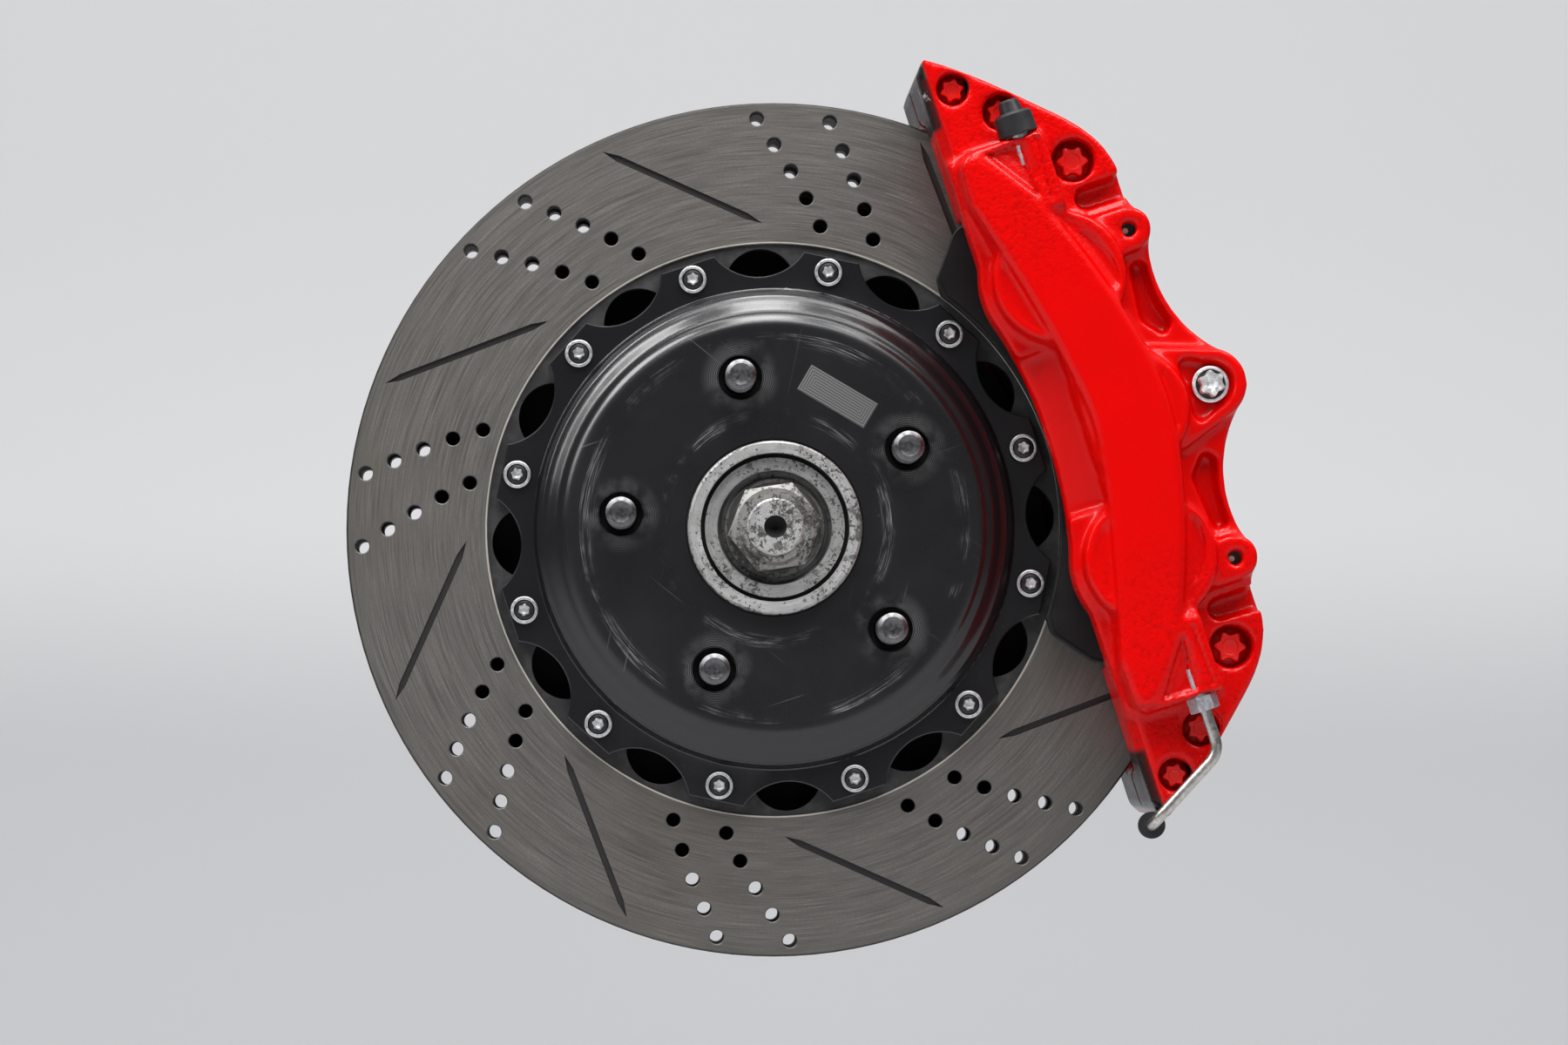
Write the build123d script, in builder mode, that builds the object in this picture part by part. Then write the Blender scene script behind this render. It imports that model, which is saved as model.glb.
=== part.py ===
from build123d import *
from math import atan2, cos, degrees, radians, sin, sqrt
import os

os.makedirs("parts", exist_ok=True)

# A front-axle corner brake: two-piece vented disc on its wheel hub, six-piston fixed calliper.
# +Y runs inboard along the axle, +Z is up, and the origin is the centre of the hat's wheel seat.
# Lengths are in millimetres, angles in degrees, anticlockwise as seen from outboard.

# ---------------------------------------------------------------- wheel fitting
stud_circle_d = 127.0
stud_count = 5
stud_d = 12.7
stud_angle = 30.9
stud_reach = 17.0
stud_head_d = 19.0
stud_head_t = 5.0
stud_tip_chamfer = 1.9
stud_knurl_d = 13.6
pilot_d = 71.0
pilot_reach = 6.0
register_d = 73.0
register_drop = 0.6

# ---------------------------------------------------------------- disc ring
disc_d = 355.0
disc_t = 32.0
plate_t = 9.0
friction_inner_d = 238.6
inner_plate_relief = 3.0
rim_chamfer = 0.8
hat_offset = 18.5
vane_count = 40
vane_t = 4.6
vane_inset = 2.0
ring_flange_d = 194.0
ring_flange_step = 1.5
window_count = 12
window_circle_d = 204.6
window_d = 29.4
window_angle = 3.0

# Drilled rows: each leans forward as it runs outwards, and the vanes lean with it.
drill_d = 5.8
drill_edge = 0.4
drill_groups = 8
drill_per_row = 5
drill_inner_r = 127.6
drill_outer_r = 171.0
row_angles = (26.0, 36.2)
row_lean = 11.1
lean_curl = 0.16
vane_angle = 4.1

# Straight grooves milled in both friction faces.
groove_inner_r = 127.6
groove_outer_r = 172.4
groove_inner_angle = 2.1
groove_outer_angle = 24.3
groove_w = 2.7
groove_depth = 1.2
groove_run_out = 7.0

# ---------------------------------------------------------------- hat and its bolts
hat_t = 8.0
hat_flange_t = 7.0
hat_face_r = 83.0
hat_shoulder_r = 98.0
hat_wall_r = 99.6
hat_lobe_r = 115.2
hat_hoop_t = 2.0
hat_inner_relief = 4.0
hat_slope_inset = 5.0
hat_slope_share = 0.36
hat_shoulder_share = 0.62
hat_turn_radii = (6.0, 4.0, 3.0, 0.8)
hat_edge = 0.5
scallop_circle_d = 255.6
scallop_d = 46.0
hat_stud_hole_d = 18.3
hat_bolt_circle_d = 217.4
hat_bolt_angle = 18.0
hat_bolt_d = 6.0
hat_bolt_head_d = 7.0
hat_bolt_head_t = 3.6
cup_washer_d = 11.9
cup_washer_t = 1.8
cup_depth = 1.0
cup_d = 8.6
hat_nut_flats = 10.0
hat_nut_t = 6.0
hat_bolt_stick_out = 1.5

# ---------------------------------------------------------------- hub, stub axle and bearing
hub_flange_d = 144.0
hub_flange_t = 12.0
hub_barrel_d = 48.0
hub_shoulder_d = 54.0
hub_shoulder_t = 10.0
nose_groove_outer_d = 61.2
nose_groove_inner_d = 57.6
nose_groove_depth = 7.0
nose_ring_drop = 4.0
nut_pocket_d = 46.8
nut_pocket_depth = 10.0
spline_d = 28.0
axle_thread_d = 23.4
axle_end_beyond_pilot = 5.5
axle_centre_d = 9.4
axle_centre_depth = 7.0
axle_washer_d = 41.0
axle_washer_t = 3.0
axle_nut_flats = 34.0
axle_nut_t = 9.5
axle_nut_angle = 9.0
axle_nut_crown_d = 32.0
axle_nut_crown_share = 0.8
axle_nut_collar_d = 28.8
axle_nut_collar_t = 1.5
axle_shoulder_d = 54.0
axle_shoulder_t = 7.0
axle_journal_d = 32.0
axle_journal_l = 13.0

race_t = 4.5
race_l = 54.0
roller_d = 8.9
roller_l = 11.0
roller_count = 12
roller_row_inset = 8.0
roller_play = 0.1
cage_t = 3.6
cage_rim = 2.0
seal_t = 3.0
seal_inset = 1.0
outer_race_t = 6.5
bearing_pilot_d = 80.0
bearing_pilot_reach = 7.5
bearing_register_d = 82.0
bearing_register_drop = 0.5
bearing_flange_t = 13.0
bearing_flange_setback = 26.0
bearing_boss_d = 23.0
knuckle_circle_d = 116.0
knuckle_bolt_d = 13.0
knuckle_angle = 60.0
knuckle_thread_d = 12.0

# ---------------------------------------------------------------- dust shield and bracket
shield_d = 286.0
shield_t = 1.5
shield_disc_gap = 6.0
shield_dish_r = 84.0
shield_base_r = 72.0
shield_lip = 2.5
shield_cut_r = 92.0
shield_cut_d = 231.0
shield_screw_circle_d = 120.0
shield_screw_angle = 120.0
shield_screw_d = 6.0
shield_screw_head_d = 10.0
shield_screw_head_t = 3.0
shield_screw_l = 8.0
bracket_t = 12.0
bracket_hub_r = 68.0
knuckle_seat_r = 67.0
knuckle_seat_rise = 1.5
lug_r = 92.0
lug_t = 66.0
lug_d = 26.0
bracket_scoop_r = 40.0
bracket_scoop_rise = 32.0
lug_thickness = 13.5
mount_bolt_d = 12.0
mount_bolt_head_t = 8.0
mount_bolt_flats = 18.0
mount_washer_d = 24.0
mount_washer_t = 2.5

# ---------------------------------------------------------------- calliper castings
# Places on the calliper are (r, t): r away from the axle along its centre line, t across it.
# Depths are outboard of the disc's outer friction face, and the inboard half mirrors them.
calliper_angle = 18.0
pad_space = 21.0
land_depth = 40.0
bulge_depth = 52.0
band_depth = 56.0
boss_depth = 55.0
ear_depth = 45.0
disc_clearance = 2.0
rim_clearance = 3.5
end_rim = ((28.4, 24.0), (34.0, 27.0), (40.5, 24.3), (46.5, 22.9), (53.2, 22.1))
nose_r = 115.3
nose_t = 162.6
tip_low_t = 157.0
tip_low_r = 111.4
end_bevel_w = 4.0
end_bevel_depth = 9.0
skirt_r = 111.4
belly_r = 108.8
belly_t = 58.0
belly_start_t = 74.0
arch_r = 116.8
arch_t = 47.0
arch_knee_r = 115.4
arch_knee_t = 26.8
top_land_t = 81.0
centre_bolt_rise = 8.7
centre_ear_r = 14.7
rim_rise = 1.2
rim_low_t = 50.0
pin_rise = 10.9
pin_t = 70.2
pin_ear_r = 9.2
pin_ear_foot = 11.0
pin_cap_low = 38.0
pin_cap_high = 50.0
edge_round = 2.4

# The band, the places of the ears' web, and the hollows that leave raised rims.
band_upper = ((167.2, 0), (161.3, 40), (148.9, 78), (123.3, 118))
band_upper_way = (-1.1, 1)
band_heel = ((118.4, 119), (113.6, 113))
band_sole = ((113, 96), (118.1, 78), (126.9, 44), (133, 0))
band_sole_way = (0.25, -1)
band_taper = 4.0
bulge_rim_w = 2.6
bulge_hollow_depth = 1.1
bulge_round = 1.3
boss_low_r = 119.4
boss_hollow = ((146.2, 93.5), (143.8, 116.8), (130.0, 117.8))
boss_hollow_depth = 1.5
ear_web_rise = 3.0
ear_web_half_w = 14.4
ear_web_foot_r = 167.0
ear_web_foot_t = 22.0
ear_web_mid_r = 161.0
rim_hollow = ((175.8, 57), (175.8, 41), (179.2, 29), (174.5, 24.5), (167, 33.5), (169.5, 57))
rim_hollow_depth = 7.0
rim_hollow_round = 1.8
scoop_r = 171.5
scoop_t = 88.0
scoop_l = 30.0
scoop_w = 9.6
scoop_depth = 8.0
bevel_high_r = 131.0
bevel_low_r = 113.0
bevel_drop = 9.0
bevel_half_l = 34.0

outer_piston_d = 38.0
middle_piston_d = 34.0
outer_bore_drop = 7.5
outer_bore_t = 60.0
middle_bore_rise = 1.5
outer_bulge_d = 54.0
middle_bulge_d = 51.0
bore_clearance = 0.05
bore_depth = 24.0

port_r = 142.0
port_depth = 48.6
port_end_t = 119.4
port_start_t = 86.0
port_top_r = 151.5
port_hole_d = 8.0
port_hole_l = 16.0
bridge_bolt_overhang = 14.3
bridge_bolt_places = ((32.9, 12.0, 17.6), (43.5, 10.0, 15.0), (50.0, 8.0, 13.4))
bridge_counterbore = 11.0
bridge_head_t = 7.0
bridge_flange_t = 1.6
bridge_flange_slack = 1.0
bridge_head_slack = 2.2
bridge_thread_l = 16.0
centre_bolt_d = 8.0
centre_flange_d = 15.2
centre_flange_t = 2.2
centre_head_d = 11.2
centre_head_t = 5.6
centre_pocket_r = 9.6
centre_nut_t = 4.6
centre_nut_slack = 0.6
centre_corner_drop = 7.6
centre_corner_t = 10.4
centre_corner_r = 3.0
lug_root_rise = 6.0
lug_root_extra_r = 6.0
spacer_d = 12.0
hole_clearance = 0.2

# ---------------------------------------------------------------- pads and pistons
pad_gap = 0.5
friction_t = 10.5
pad_plate_t = 6.0
shim_t = 0.7
pad_half_width = 94.6
pad_corner_r = 109.0
pad_toe_r = 96.0
pad_toe_t = 77.0
pad_toe_l = 7.0
pad_toe_slope = 0.8
pad_toe_radii = (5.0, 8.0)
pad_inner_angle = 18.0
pad_outer_angle = 15.0
pad_edge = 0.5
pad_height = 59.0
pad_rim_margin = 0.5
pad_ear_r = 7.5
friction_inset = 3.0
pad_slot_w = 3.0
pad_slot_depth = 8.4
pin_d = 6.0
pin_slack = 0.4
pin_head_d = 9.5
pin_head_t = 2.0
pin_recess = 6.0
wear_plate_t = 0.8
wear_plate_gap = 0.4
wear_plate_low_r = 113.0
wear_plate_high_r = 150.0
piston_wall = 4.5
piston_cup_depth = 14.0
piston_l = 24.0
seal_groove_w = 3.5
seal_groove_depth = 3.0
seal_groove_at = 6.0
wiper_w = 2.0
wiper_depth = 2.5

# ---------------------------------------------------------------- bleeders, pipe and inlet
bleeder_hex = 10.0
bleeder_hex_l = 5.0
bleeder_nipple_d = 6.0
bleeder_nipple_l = 7.5
bleeder_thread_l = 12.0
pipe_seat_l = 8.4
cap_d = 16.4
cap_l = 9.5
cap_nose_d = 9.0
cap_nose_l = 5.4
cap_slack = 0.3
cap_foot_edge = 0.6
cap_waist = 0.3
cap_shoulder = 1.2
cap_nose_flare = 0.4
cap_nose_round = 0.8
pipe_d = 4.7
pipe_nut_flats = 10.7
pipe_nut_l = 6.0
pipe_knee_t = 143.2
pipe_low_r = 107.0
pipe_low_t = 163.0
pipe_back_r = 117.7
pipe_back_t = 169.0
pipe_knee_radius = 9.0
pipe_low_radius = 7.0
sleeve_d = 11.0
sleeve_l = 20.0
sleeve_inset = 0.5
inlet_edge = 7.2
inlet_drop = 1.7
inlet_flats = 13.0
inlet_stem_l = 8.0
inlet_l = 9.0
inlet_thread_d = 10.0
inlet_bore_depth = 8.0

# ---------------------------------------------------------------- stations along the axle
friction_out_y = hat_offset
friction_in_y = hat_offset + disc_t
mid_y = hat_offset + disc_t / 2
ring_flange_y = friction_out_y + ring_flange_step
ring_back_y = friction_out_y + plate_t
hub_back_y = hat_t + hub_flange_t
bearing_front_y = hub_back_y + hub_shoulder_t
bearing_back_y = bearing_front_y + race_l
bearing_flange_y = bearing_front_y + bearing_flange_setback
shield_y = bearing_flange_y + bearing_flange_t
bracket_y = shield_y + shield_t
lug_seat_y = bracket_y + bracket_t
lug_back_y = lug_seat_y + lug_thickness
knuckle_y = lug_seat_y + knuckle_seat_rise
nose_y = -pilot_reach
pocket_y = nose_y + nut_pocket_depth

# Places on the calliper that follow the disc and the pads.
disc_r = disc_d / 2
pad_outer_r = disc_r - pad_rim_margin
pad_inner_r = pad_outer_r - pad_height
pad_mid_r = pad_outer_r - pad_height / 2
outer_bore_r = pad_mid_r - outer_bore_drop
middle_bore_r = pad_mid_r + middle_bore_rise
pin_r = sqrt(pad_outer_r**2 - pin_t**2) + pin_rise
rim_low_r = pad_outer_r + rim_rise
centre_bolt_r = pad_outer_r + centre_bolt_rise
top_land_r = (disc_r + end_rim[0][1]) * cos(radians(end_rim[0][0]))
inlet_r = port_top_r - inlet_edge
inlet_t = (port_end_t + port_start_t) / 2 - inlet_drop
bridge_bolts = tuple(
    ((disc_r + bridge_bolt_overhang) * cos(radians(angle)),
     (disc_r + bridge_bolt_overhang) * sin(radians(angle)), bolt_d, well_d)
    for angle, bolt_d, well_d in bridge_bolt_places
)

race_r = hub_barrel_d / 2 + race_t
outer_bore_race_r = race_r + roller_d + roller_play
roller_circle_r = (race_r + outer_bore_race_r) / 2
press_gap = 0.02
running_gap = 0.3


def across(y, turn=0.0):
    """Plane across the axle at y: x is turned from +X towards +Z, and extrusions run outboard."""
    return Plane(
        origin=(0, y, 0),
        x_dir=(cos(radians(turn)), 0, sin(radians(turn))),
        z_dir=(0, -1, 0),
    )


def calliper_plane(depth):
    """Plane across the axle with x along the calliper's centre line, depth outboard of the disc."""
    return across(friction_out_y - depth, calliper_angle)


def inner_plane(depth):
    """The calliper's plane as far inboard of the disc's inner face as depth says."""
    return across(friction_in_y + depth, calliper_angle)


def along_plane(t):
    """Plane across the calliper's t direction at t: x is r, y is depth, and extrusions run to -t."""
    turn = radians(calliper_angle)
    origin = Vector(-t * sin(turn), friction_out_y, t * cos(turn))
    return Plane(origin=origin, x_dir=(cos(turn), 0, sin(turn)), z_dir=(sin(turn), 0, -cos(turn)))


def lean(radius):
    """Forward lean of a drilled row or vane at a radius, from the row's inner hole."""
    share = (radius - drill_inner_r) / (drill_outer_r - drill_inner_r)
    return row_lean * share * (1 + lean_curl - lean_curl * share)


def polar(radius, angle):
    """Point at a radius and angle in a plane's own coordinates."""
    return (radius * cos(radians(angle)), radius * sin(radians(angle)))


mid_plane = Plane(origin=(0, mid_y, 0), z_dir=(0, 1, 0))

# ================================================================ ROTOR
# Disc ring: two friction plates on leaning vanes, and a thin flange with twelve open windows.
friction_inner_r = friction_inner_d / 2
inner_plate_y = friction_in_y - plate_t
vane_in_r = friction_inner_r + inner_plate_relief + vane_inset
vane_out_r = disc_r - vane_inset
groove_start = Vector(*polar(groove_inner_r, groove_inner_angle))
groove_end = Vector(*polar(groove_outer_r, groove_outer_angle))
groove_half = (groove_end - groove_start).length / 2
groove_mid = (groove_start + groove_end) * 0.5
groove_slope = degrees(atan2(groove_end.Y - groove_start.Y, groove_end.X - groove_start.X))


def drill_sketch(y, radius):
    """Circles at all the drilled holes, on the plane across the axle at y."""
    with BuildSketch(across(y)) as holes:
        for group in range(drill_groups):
            for row_angle in row_angles:
                for number in range(drill_per_row):
                    share = number / (drill_per_row - 1)
                    hole_r = drill_inner_r + share * (drill_outer_r - drill_inner_r)
                    with Locations(polar(hole_r, row_angle + group * 360 / drill_groups + lean(hole_r))):
                        Circle(radius)
    return holes.sketch


def groove_sketch(y):
    """Pointed grooves, one for each drilled group, on the plane across the axle at y."""
    with BuildSketch(across(y)) as grooves:
        for turn in range(drill_groups):
            step = turn * 360 / drill_groups
            centre = groove_mid.rotate(Axis.Z, step)
            with Locations(Location((centre.X, centre.Y, 0), groove_slope + step)):
                Polygon(
                    (-groove_half, 0),
                    (-groove_half + groove_run_out, -groove_w / 2),
                    (groove_half - groove_run_out, -groove_w / 2),
                    (groove_half, 0),
                    (groove_half - groove_run_out, groove_w / 2),
                    (-groove_half + groove_run_out, groove_w / 2),
                    align=None,
                )
    return grooves.sketch


with BuildPart() as disc_ring:
    with BuildSketch(Plane.XY):
        with BuildLine():
            Polyline(
                (ring_flange_d / 2, ring_flange_y),
                (friction_inner_r, ring_flange_y),
                (friction_inner_r, friction_out_y),
                (disc_r - rim_chamfer, friction_out_y),
                (disc_r, friction_out_y + rim_chamfer),
                (disc_r, ring_back_y),
                (ring_flange_d / 2, ring_back_y),
                close=True,
            )
        make_face()
        with BuildLine():
            Polyline(
                (friction_inner_r + inner_plate_relief, inner_plate_y),
                (disc_r, inner_plate_y),
                (disc_r, friction_in_y - rim_chamfer),
                (disc_r - rim_chamfer, friction_in_y),
                (friction_inner_r + inner_plate_relief, friction_in_y),
                close=True,
            )
        make_face()
    revolve(axis=Axis.Y)
    with BuildSketch(across(inner_plate_y)):
        for number in range(vane_count):
            start = vane_angle + number * 360 / vane_count
            with BuildLine() as vane_line:
                ThreePointArc(
                    polar(vane_in_r, start + lean(vane_in_r)),
                    polar((vane_in_r + vane_out_r) / 2, start + lean((vane_in_r + vane_out_r) / 2)),
                    polar(vane_out_r, start + lean(vane_out_r)),
                )
            trace(vane_line.line, vane_t)
    extrude(amount=inner_plate_y - ring_back_y)
    with BuildSketch(across(ring_back_y)):
        with PolarLocations(window_circle_d / 2, window_count, window_angle):
            Circle(window_d / 2)
        with PolarLocations(hat_bolt_circle_d / 2, window_count, hat_bolt_angle):
            Circle(hat_bolt_d / 2 + hole_clearance)
    extrude(amount=plate_t - ring_flange_step, mode=Mode.SUBTRACT)
    extrude(drill_sketch(friction_in_y, drill_d / 2), amount=disc_t, mode=Mode.SUBTRACT)
    extrude(
        drill_sketch(friction_out_y, drill_d / 2 + drill_edge),
        amount=-drill_edge,
        taper=45,
        mode=Mode.SUBTRACT,
    )
    extrude(
        drill_sketch(friction_in_y, drill_d / 2 + drill_edge),
        amount=drill_edge,
        taper=45,
        mode=Mode.SUBTRACT,
    )
    extrude(groove_sketch(friction_out_y), amount=-groove_depth, mode=Mode.SUBTRACT)
    extrude(groove_sketch(friction_in_y), amount=groove_depth, mode=Mode.SUBTRACT)
disc_ring.part.label = "disc_ring"
export_step(disc_ring.part, "parts/disc_ring.step")

# Hat: turned bell with a scalloped bolting flange.
hat_bore_r = register_d / 2 + hole_clearance
hat_flange_y = ring_flange_y - hat_flange_t
hat_shoulder_y = hat_flange_y * hat_shoulder_share
hat_hoop_r = hat_wall_r + hat_hoop_t
hat_room_r = hat_wall_r - hat_t
hat_slope_r = (hat_face_r + hat_shoulder_r) / 2
with BuildPart() as hat_flange:
    with BuildSketch(across(ring_flange_y)):
        RegularPolygon(hat_lobe_r, window_count, major_radius=False, rotation=window_angle)
        with PolarLocations(scallop_circle_d / 2, window_count, window_angle):
            Circle(scallop_d / 2, mode=Mode.SUBTRACT)
    extrude(amount=hat_flange_t)
    chamfer(hat_flange.faces().sort_by(Axis.Y)[0].edges(), hat_edge)

with BuildPart() as rotor_hat:
    with BuildSketch(Plane.XY):
        with BuildLine():
            FilletPolyline(
                (hat_bore_r, 0),
                (hat_face_r, 0),
                (hat_slope_r, hat_shoulder_y * hat_slope_share),
                (hat_shoulder_r, hat_shoulder_y),
                (hat_wall_r, hat_flange_y),
                (hat_hoop_r, hat_flange_y),
                radius=hat_turn_radii,
            )
            Polyline(
                (hat_hoop_r, hat_flange_y),
                (hat_hoop_r, ring_flange_y),
                (hat_room_r, ring_flange_y),
                (hat_room_r, hat_t + hat_inner_relief),
                (hat_slope_r - hat_slope_inset, hat_t),
                (hat_bore_r, hat_t),
                (hat_bore_r, 0),
            )
        make_face()
    revolve(axis=Axis.Y)
    add(hat_flange.part)
    with BuildSketch(Plane.XY):
        with BuildLine():
            Polyline(
                (0, hat_t),
                (hat_slope_r - hat_slope_inset, hat_t),
                (hat_room_r, hat_t + hat_inner_relief),
                (hat_room_r, ring_flange_y),
                (0, ring_flange_y),
                close=True,
            )
        make_face()
    revolve(axis=Axis.Y, mode=Mode.SUBTRACT)
    with BuildSketch(across(ring_flange_y)):
        with PolarLocations(hat_bolt_circle_d / 2, window_count, hat_bolt_angle):
            Circle(hat_bolt_d / 2 + hole_clearance)
    extrude(amount=hat_flange_t, mode=Mode.SUBTRACT)
    with BuildSketch(across(hat_t)):
        with PolarLocations(stud_circle_d / 2, stud_count, stud_angle):
            Circle(hat_stud_hole_d / 2)
    extrude(amount=hat_t, mode=Mode.SUBTRACT)
    with BuildSketch(across(0)):
        with PolarLocations(stud_circle_d / 2, stud_count, stud_angle):
            Circle(hat_stud_hole_d / 2 + hat_edge)
    extrude(amount=-hat_edge, taper=45, mode=Mode.SUBTRACT)
rotor_hat.part.label = "rotor_hat"
export_step(rotor_hat.part, "parts/rotor_hat.step")

# Hat bolts, cupped washers and flange nuts, twelve of each.
with BuildPart() as rotor_washers:
    with BuildSketch(across(hat_flange_y)):
        with PolarLocations(hat_bolt_circle_d / 2, window_count, hat_bolt_angle):
            Circle(cup_washer_d / 2)
            Circle(hat_bolt_d / 2 + hole_clearance, mode=Mode.SUBTRACT)
    extrude(amount=cup_washer_t)
    with BuildSketch(across(hat_flange_y - cup_washer_t + cup_depth)):
        with PolarLocations(hat_bolt_circle_d / 2, window_count, hat_bolt_angle):
            Circle(cup_d / 2)
    extrude(amount=cup_depth, mode=Mode.SUBTRACT)
rotor_washers.part.label = "rotor_washers"
export_step(rotor_washers.part, "parts/rotor_washers.step")

hat_bolt_end_y = ring_back_y + hat_nut_t + hat_bolt_stick_out
bolt_seat_y = hat_flange_y - cup_washer_t + cup_depth
with BuildPart() as rotor_bolts:
    with BuildSketch(across(hat_bolt_end_y)):
        with PolarLocations(hat_bolt_circle_d / 2, window_count, hat_bolt_angle):
            Circle(hat_bolt_d / 2)
    extrude(amount=hat_bolt_end_y - bolt_seat_y)
    with BuildSketch(across(bolt_seat_y)):
        with PolarLocations(hat_bolt_circle_d / 2, window_count, hat_bolt_angle):
            RegularPolygon(hat_bolt_head_d / 2, 6)
    extrude(amount=hat_bolt_head_t)
rotor_bolts.part.label = "rotor_bolts"
export_step(rotor_bolts.part, "parts/rotor_bolts.step")

with BuildPart() as rotor_nuts:
    with BuildSketch(across(ring_back_y + hat_nut_t)):
        with PolarLocations(hat_bolt_circle_d / 2, window_count, hat_bolt_angle):
            RegularPolygon(hat_nut_flats / 2, 6, major_radius=False)
            Circle(hat_bolt_d / 2 + press_gap, mode=Mode.SUBTRACT)
    extrude(amount=hat_nut_t)
rotor_nuts.part.label = "rotor_nuts"
export_step(rotor_nuts.part, "parts/rotor_nuts.step")

# Wheel hub: pilot ring, stud flange and barrel on the spline.
pilot_r = pilot_d / 2
spline_bore_r = spline_d / 2 + hole_clearance
with BuildPart() as wheel_hub:
    with BuildSketch(Plane.XY):
        with BuildLine():
            Polyline(
                (spline_bore_r, pocket_y),
                (nut_pocket_d / 2, pocket_y),
                (nut_pocket_d / 2, nose_y + nose_ring_drop),
                (nose_groove_inner_d / 2, nose_y + nose_ring_drop),
                (nose_groove_inner_d / 2, nose_y + nose_groove_depth),
                (nose_groove_outer_d / 2, nose_y + nose_groove_depth),
                (nose_groove_outer_d / 2, nose_y),
                (pilot_r - rim_chamfer, nose_y),
                (pilot_r, nose_y + rim_chamfer),
                (pilot_r, register_drop),
                (register_d / 2, register_drop),
                (register_d / 2, hat_t),
                (hub_flange_d / 2, hat_t),
                (hub_flange_d / 2, hub_back_y),
                (hub_shoulder_d / 2, hub_back_y),
                (hub_shoulder_d / 2, bearing_front_y),
                (hub_barrel_d / 2, bearing_front_y),
                (hub_barrel_d / 2, bearing_back_y),
                (spline_bore_r, bearing_back_y),
                close=True,
            )
        make_face()
    revolve(axis=Axis.Y)
    with BuildSketch(across(hub_back_y)):
        with PolarLocations(stud_circle_d / 2, stud_count, stud_angle):
            Circle(stud_knurl_d / 2 + press_gap)
    extrude(amount=hub_flange_t, mode=Mode.SUBTRACT)
wheel_hub.part.label = "wheel_hub"
export_step(wheel_hub.part, "parts/wheel_hub.step")

# Wheel studs, pressed in from behind the flange.
with BuildPart() as wheel_studs:
    with BuildSketch(across(hub_back_y)):
        with PolarLocations(stud_circle_d / 2, stud_count, stud_angle):
            Circle(stud_knurl_d / 2)
    extrude(amount=hub_flange_t)
    with BuildSketch(across(hat_t)):
        with PolarLocations(stud_circle_d / 2, stud_count, stud_angle):
            Circle(stud_d / 2)
    extrude(amount=hat_t + stud_reach - stud_tip_chamfer)
    with BuildSketch(across(stud_tip_chamfer - stud_reach)):
        with PolarLocations(stud_circle_d / 2, stud_count, stud_angle):
            Circle(stud_d / 2)
    extrude(amount=stud_tip_chamfer, taper=45)
    with BuildSketch(across(hub_back_y + stud_head_t)):
        with PolarLocations(stud_circle_d / 2, stud_count, stud_angle):
            Circle(stud_head_d / 2)
    extrude(amount=stud_head_t)
wheel_studs.part.label = "wheel_studs"
export_step(wheel_studs.part, "parts/wheel_studs.step")

# Stub axle, with its washer and nut in the hub's pocket.
axle_end_y = nose_y - axle_end_beyond_pilot
washer_y = pocket_y - axle_washer_t
journal_y = bearing_back_y + axle_shoulder_t
with BuildPart() as stub_axle:
    with BuildSketch(Plane.XY):
        with BuildLine():
            Polyline(
                (0, axle_end_y + axle_centre_depth),
                (axle_centre_d / 2, axle_end_y + axle_centre_depth - axle_centre_d / 2),
                (axle_centre_d / 2, axle_end_y),
                (axle_thread_d / 2 - rim_chamfer, axle_end_y),
                (axle_thread_d / 2, axle_end_y + rim_chamfer),
                (axle_thread_d / 2, pocket_y + rim_chamfer),
                (spline_d / 2, pocket_y + axle_washer_t + rim_chamfer),
                (spline_d / 2, bearing_back_y),
                (axle_shoulder_d / 2, bearing_back_y),
                (axle_shoulder_d / 2, journal_y),
                (axle_journal_d / 2, journal_y),
                (axle_journal_d / 2, journal_y + axle_journal_l),
                (0, journal_y + axle_journal_l),
                close=True,
            )
        make_face()
    revolve(axis=Axis.Y)
stub_axle.part.label = "stub_axle"
export_step(stub_axle.part, "parts/stub_axle.step")

with BuildPart() as axle_washer:
    with BuildSketch(across(pocket_y)):
        Circle(axle_washer_d / 2)
        Circle(axle_thread_d / 2 + hole_clearance, mode=Mode.SUBTRACT)
    extrude(amount=axle_washer_t)
axle_washer.part.label = "axle_washer"
export_step(axle_washer.part, "parts/axle_washer.step")

nut_top_y = washer_y - axle_nut_t
nut_corner_r = axle_nut_flats / sqrt(3)
nut_bevel_y = nut_top_y + (nut_corner_r - axle_nut_crown_d / 2) * axle_nut_crown_share
with BuildPart() as axle_nut:
    with BuildSketch(across(washer_y)):
        RegularPolygon(axle_nut_flats / 2, 6, major_radius=False, rotation=axle_nut_angle)
        Circle(axle_thread_d / 2 + press_gap, mode=Mode.SUBTRACT)
    extrude(amount=axle_nut_t)
    with BuildSketch(Plane.XY):
        with BuildLine():
            Polyline(
                (0, washer_y),
                (nut_corner_r, washer_y),
                (nut_corner_r, nut_bevel_y),
                (axle_nut_crown_d / 2, nut_top_y),
                (0, nut_top_y),
                close=True,
            )
        make_face()
    revolve(axis=Axis.Y, mode=Mode.INTERSECT)
    with BuildSketch(across(nut_top_y)):
        Circle(axle_nut_collar_d / 2)
        Circle(axle_thread_d / 2 + press_gap, mode=Mode.SUBTRACT)
    extrude(amount=axle_nut_collar_t)
axle_nut.part.label = "axle_nut"
export_step(axle_nut.part, "parts/axle_nut.step")

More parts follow.
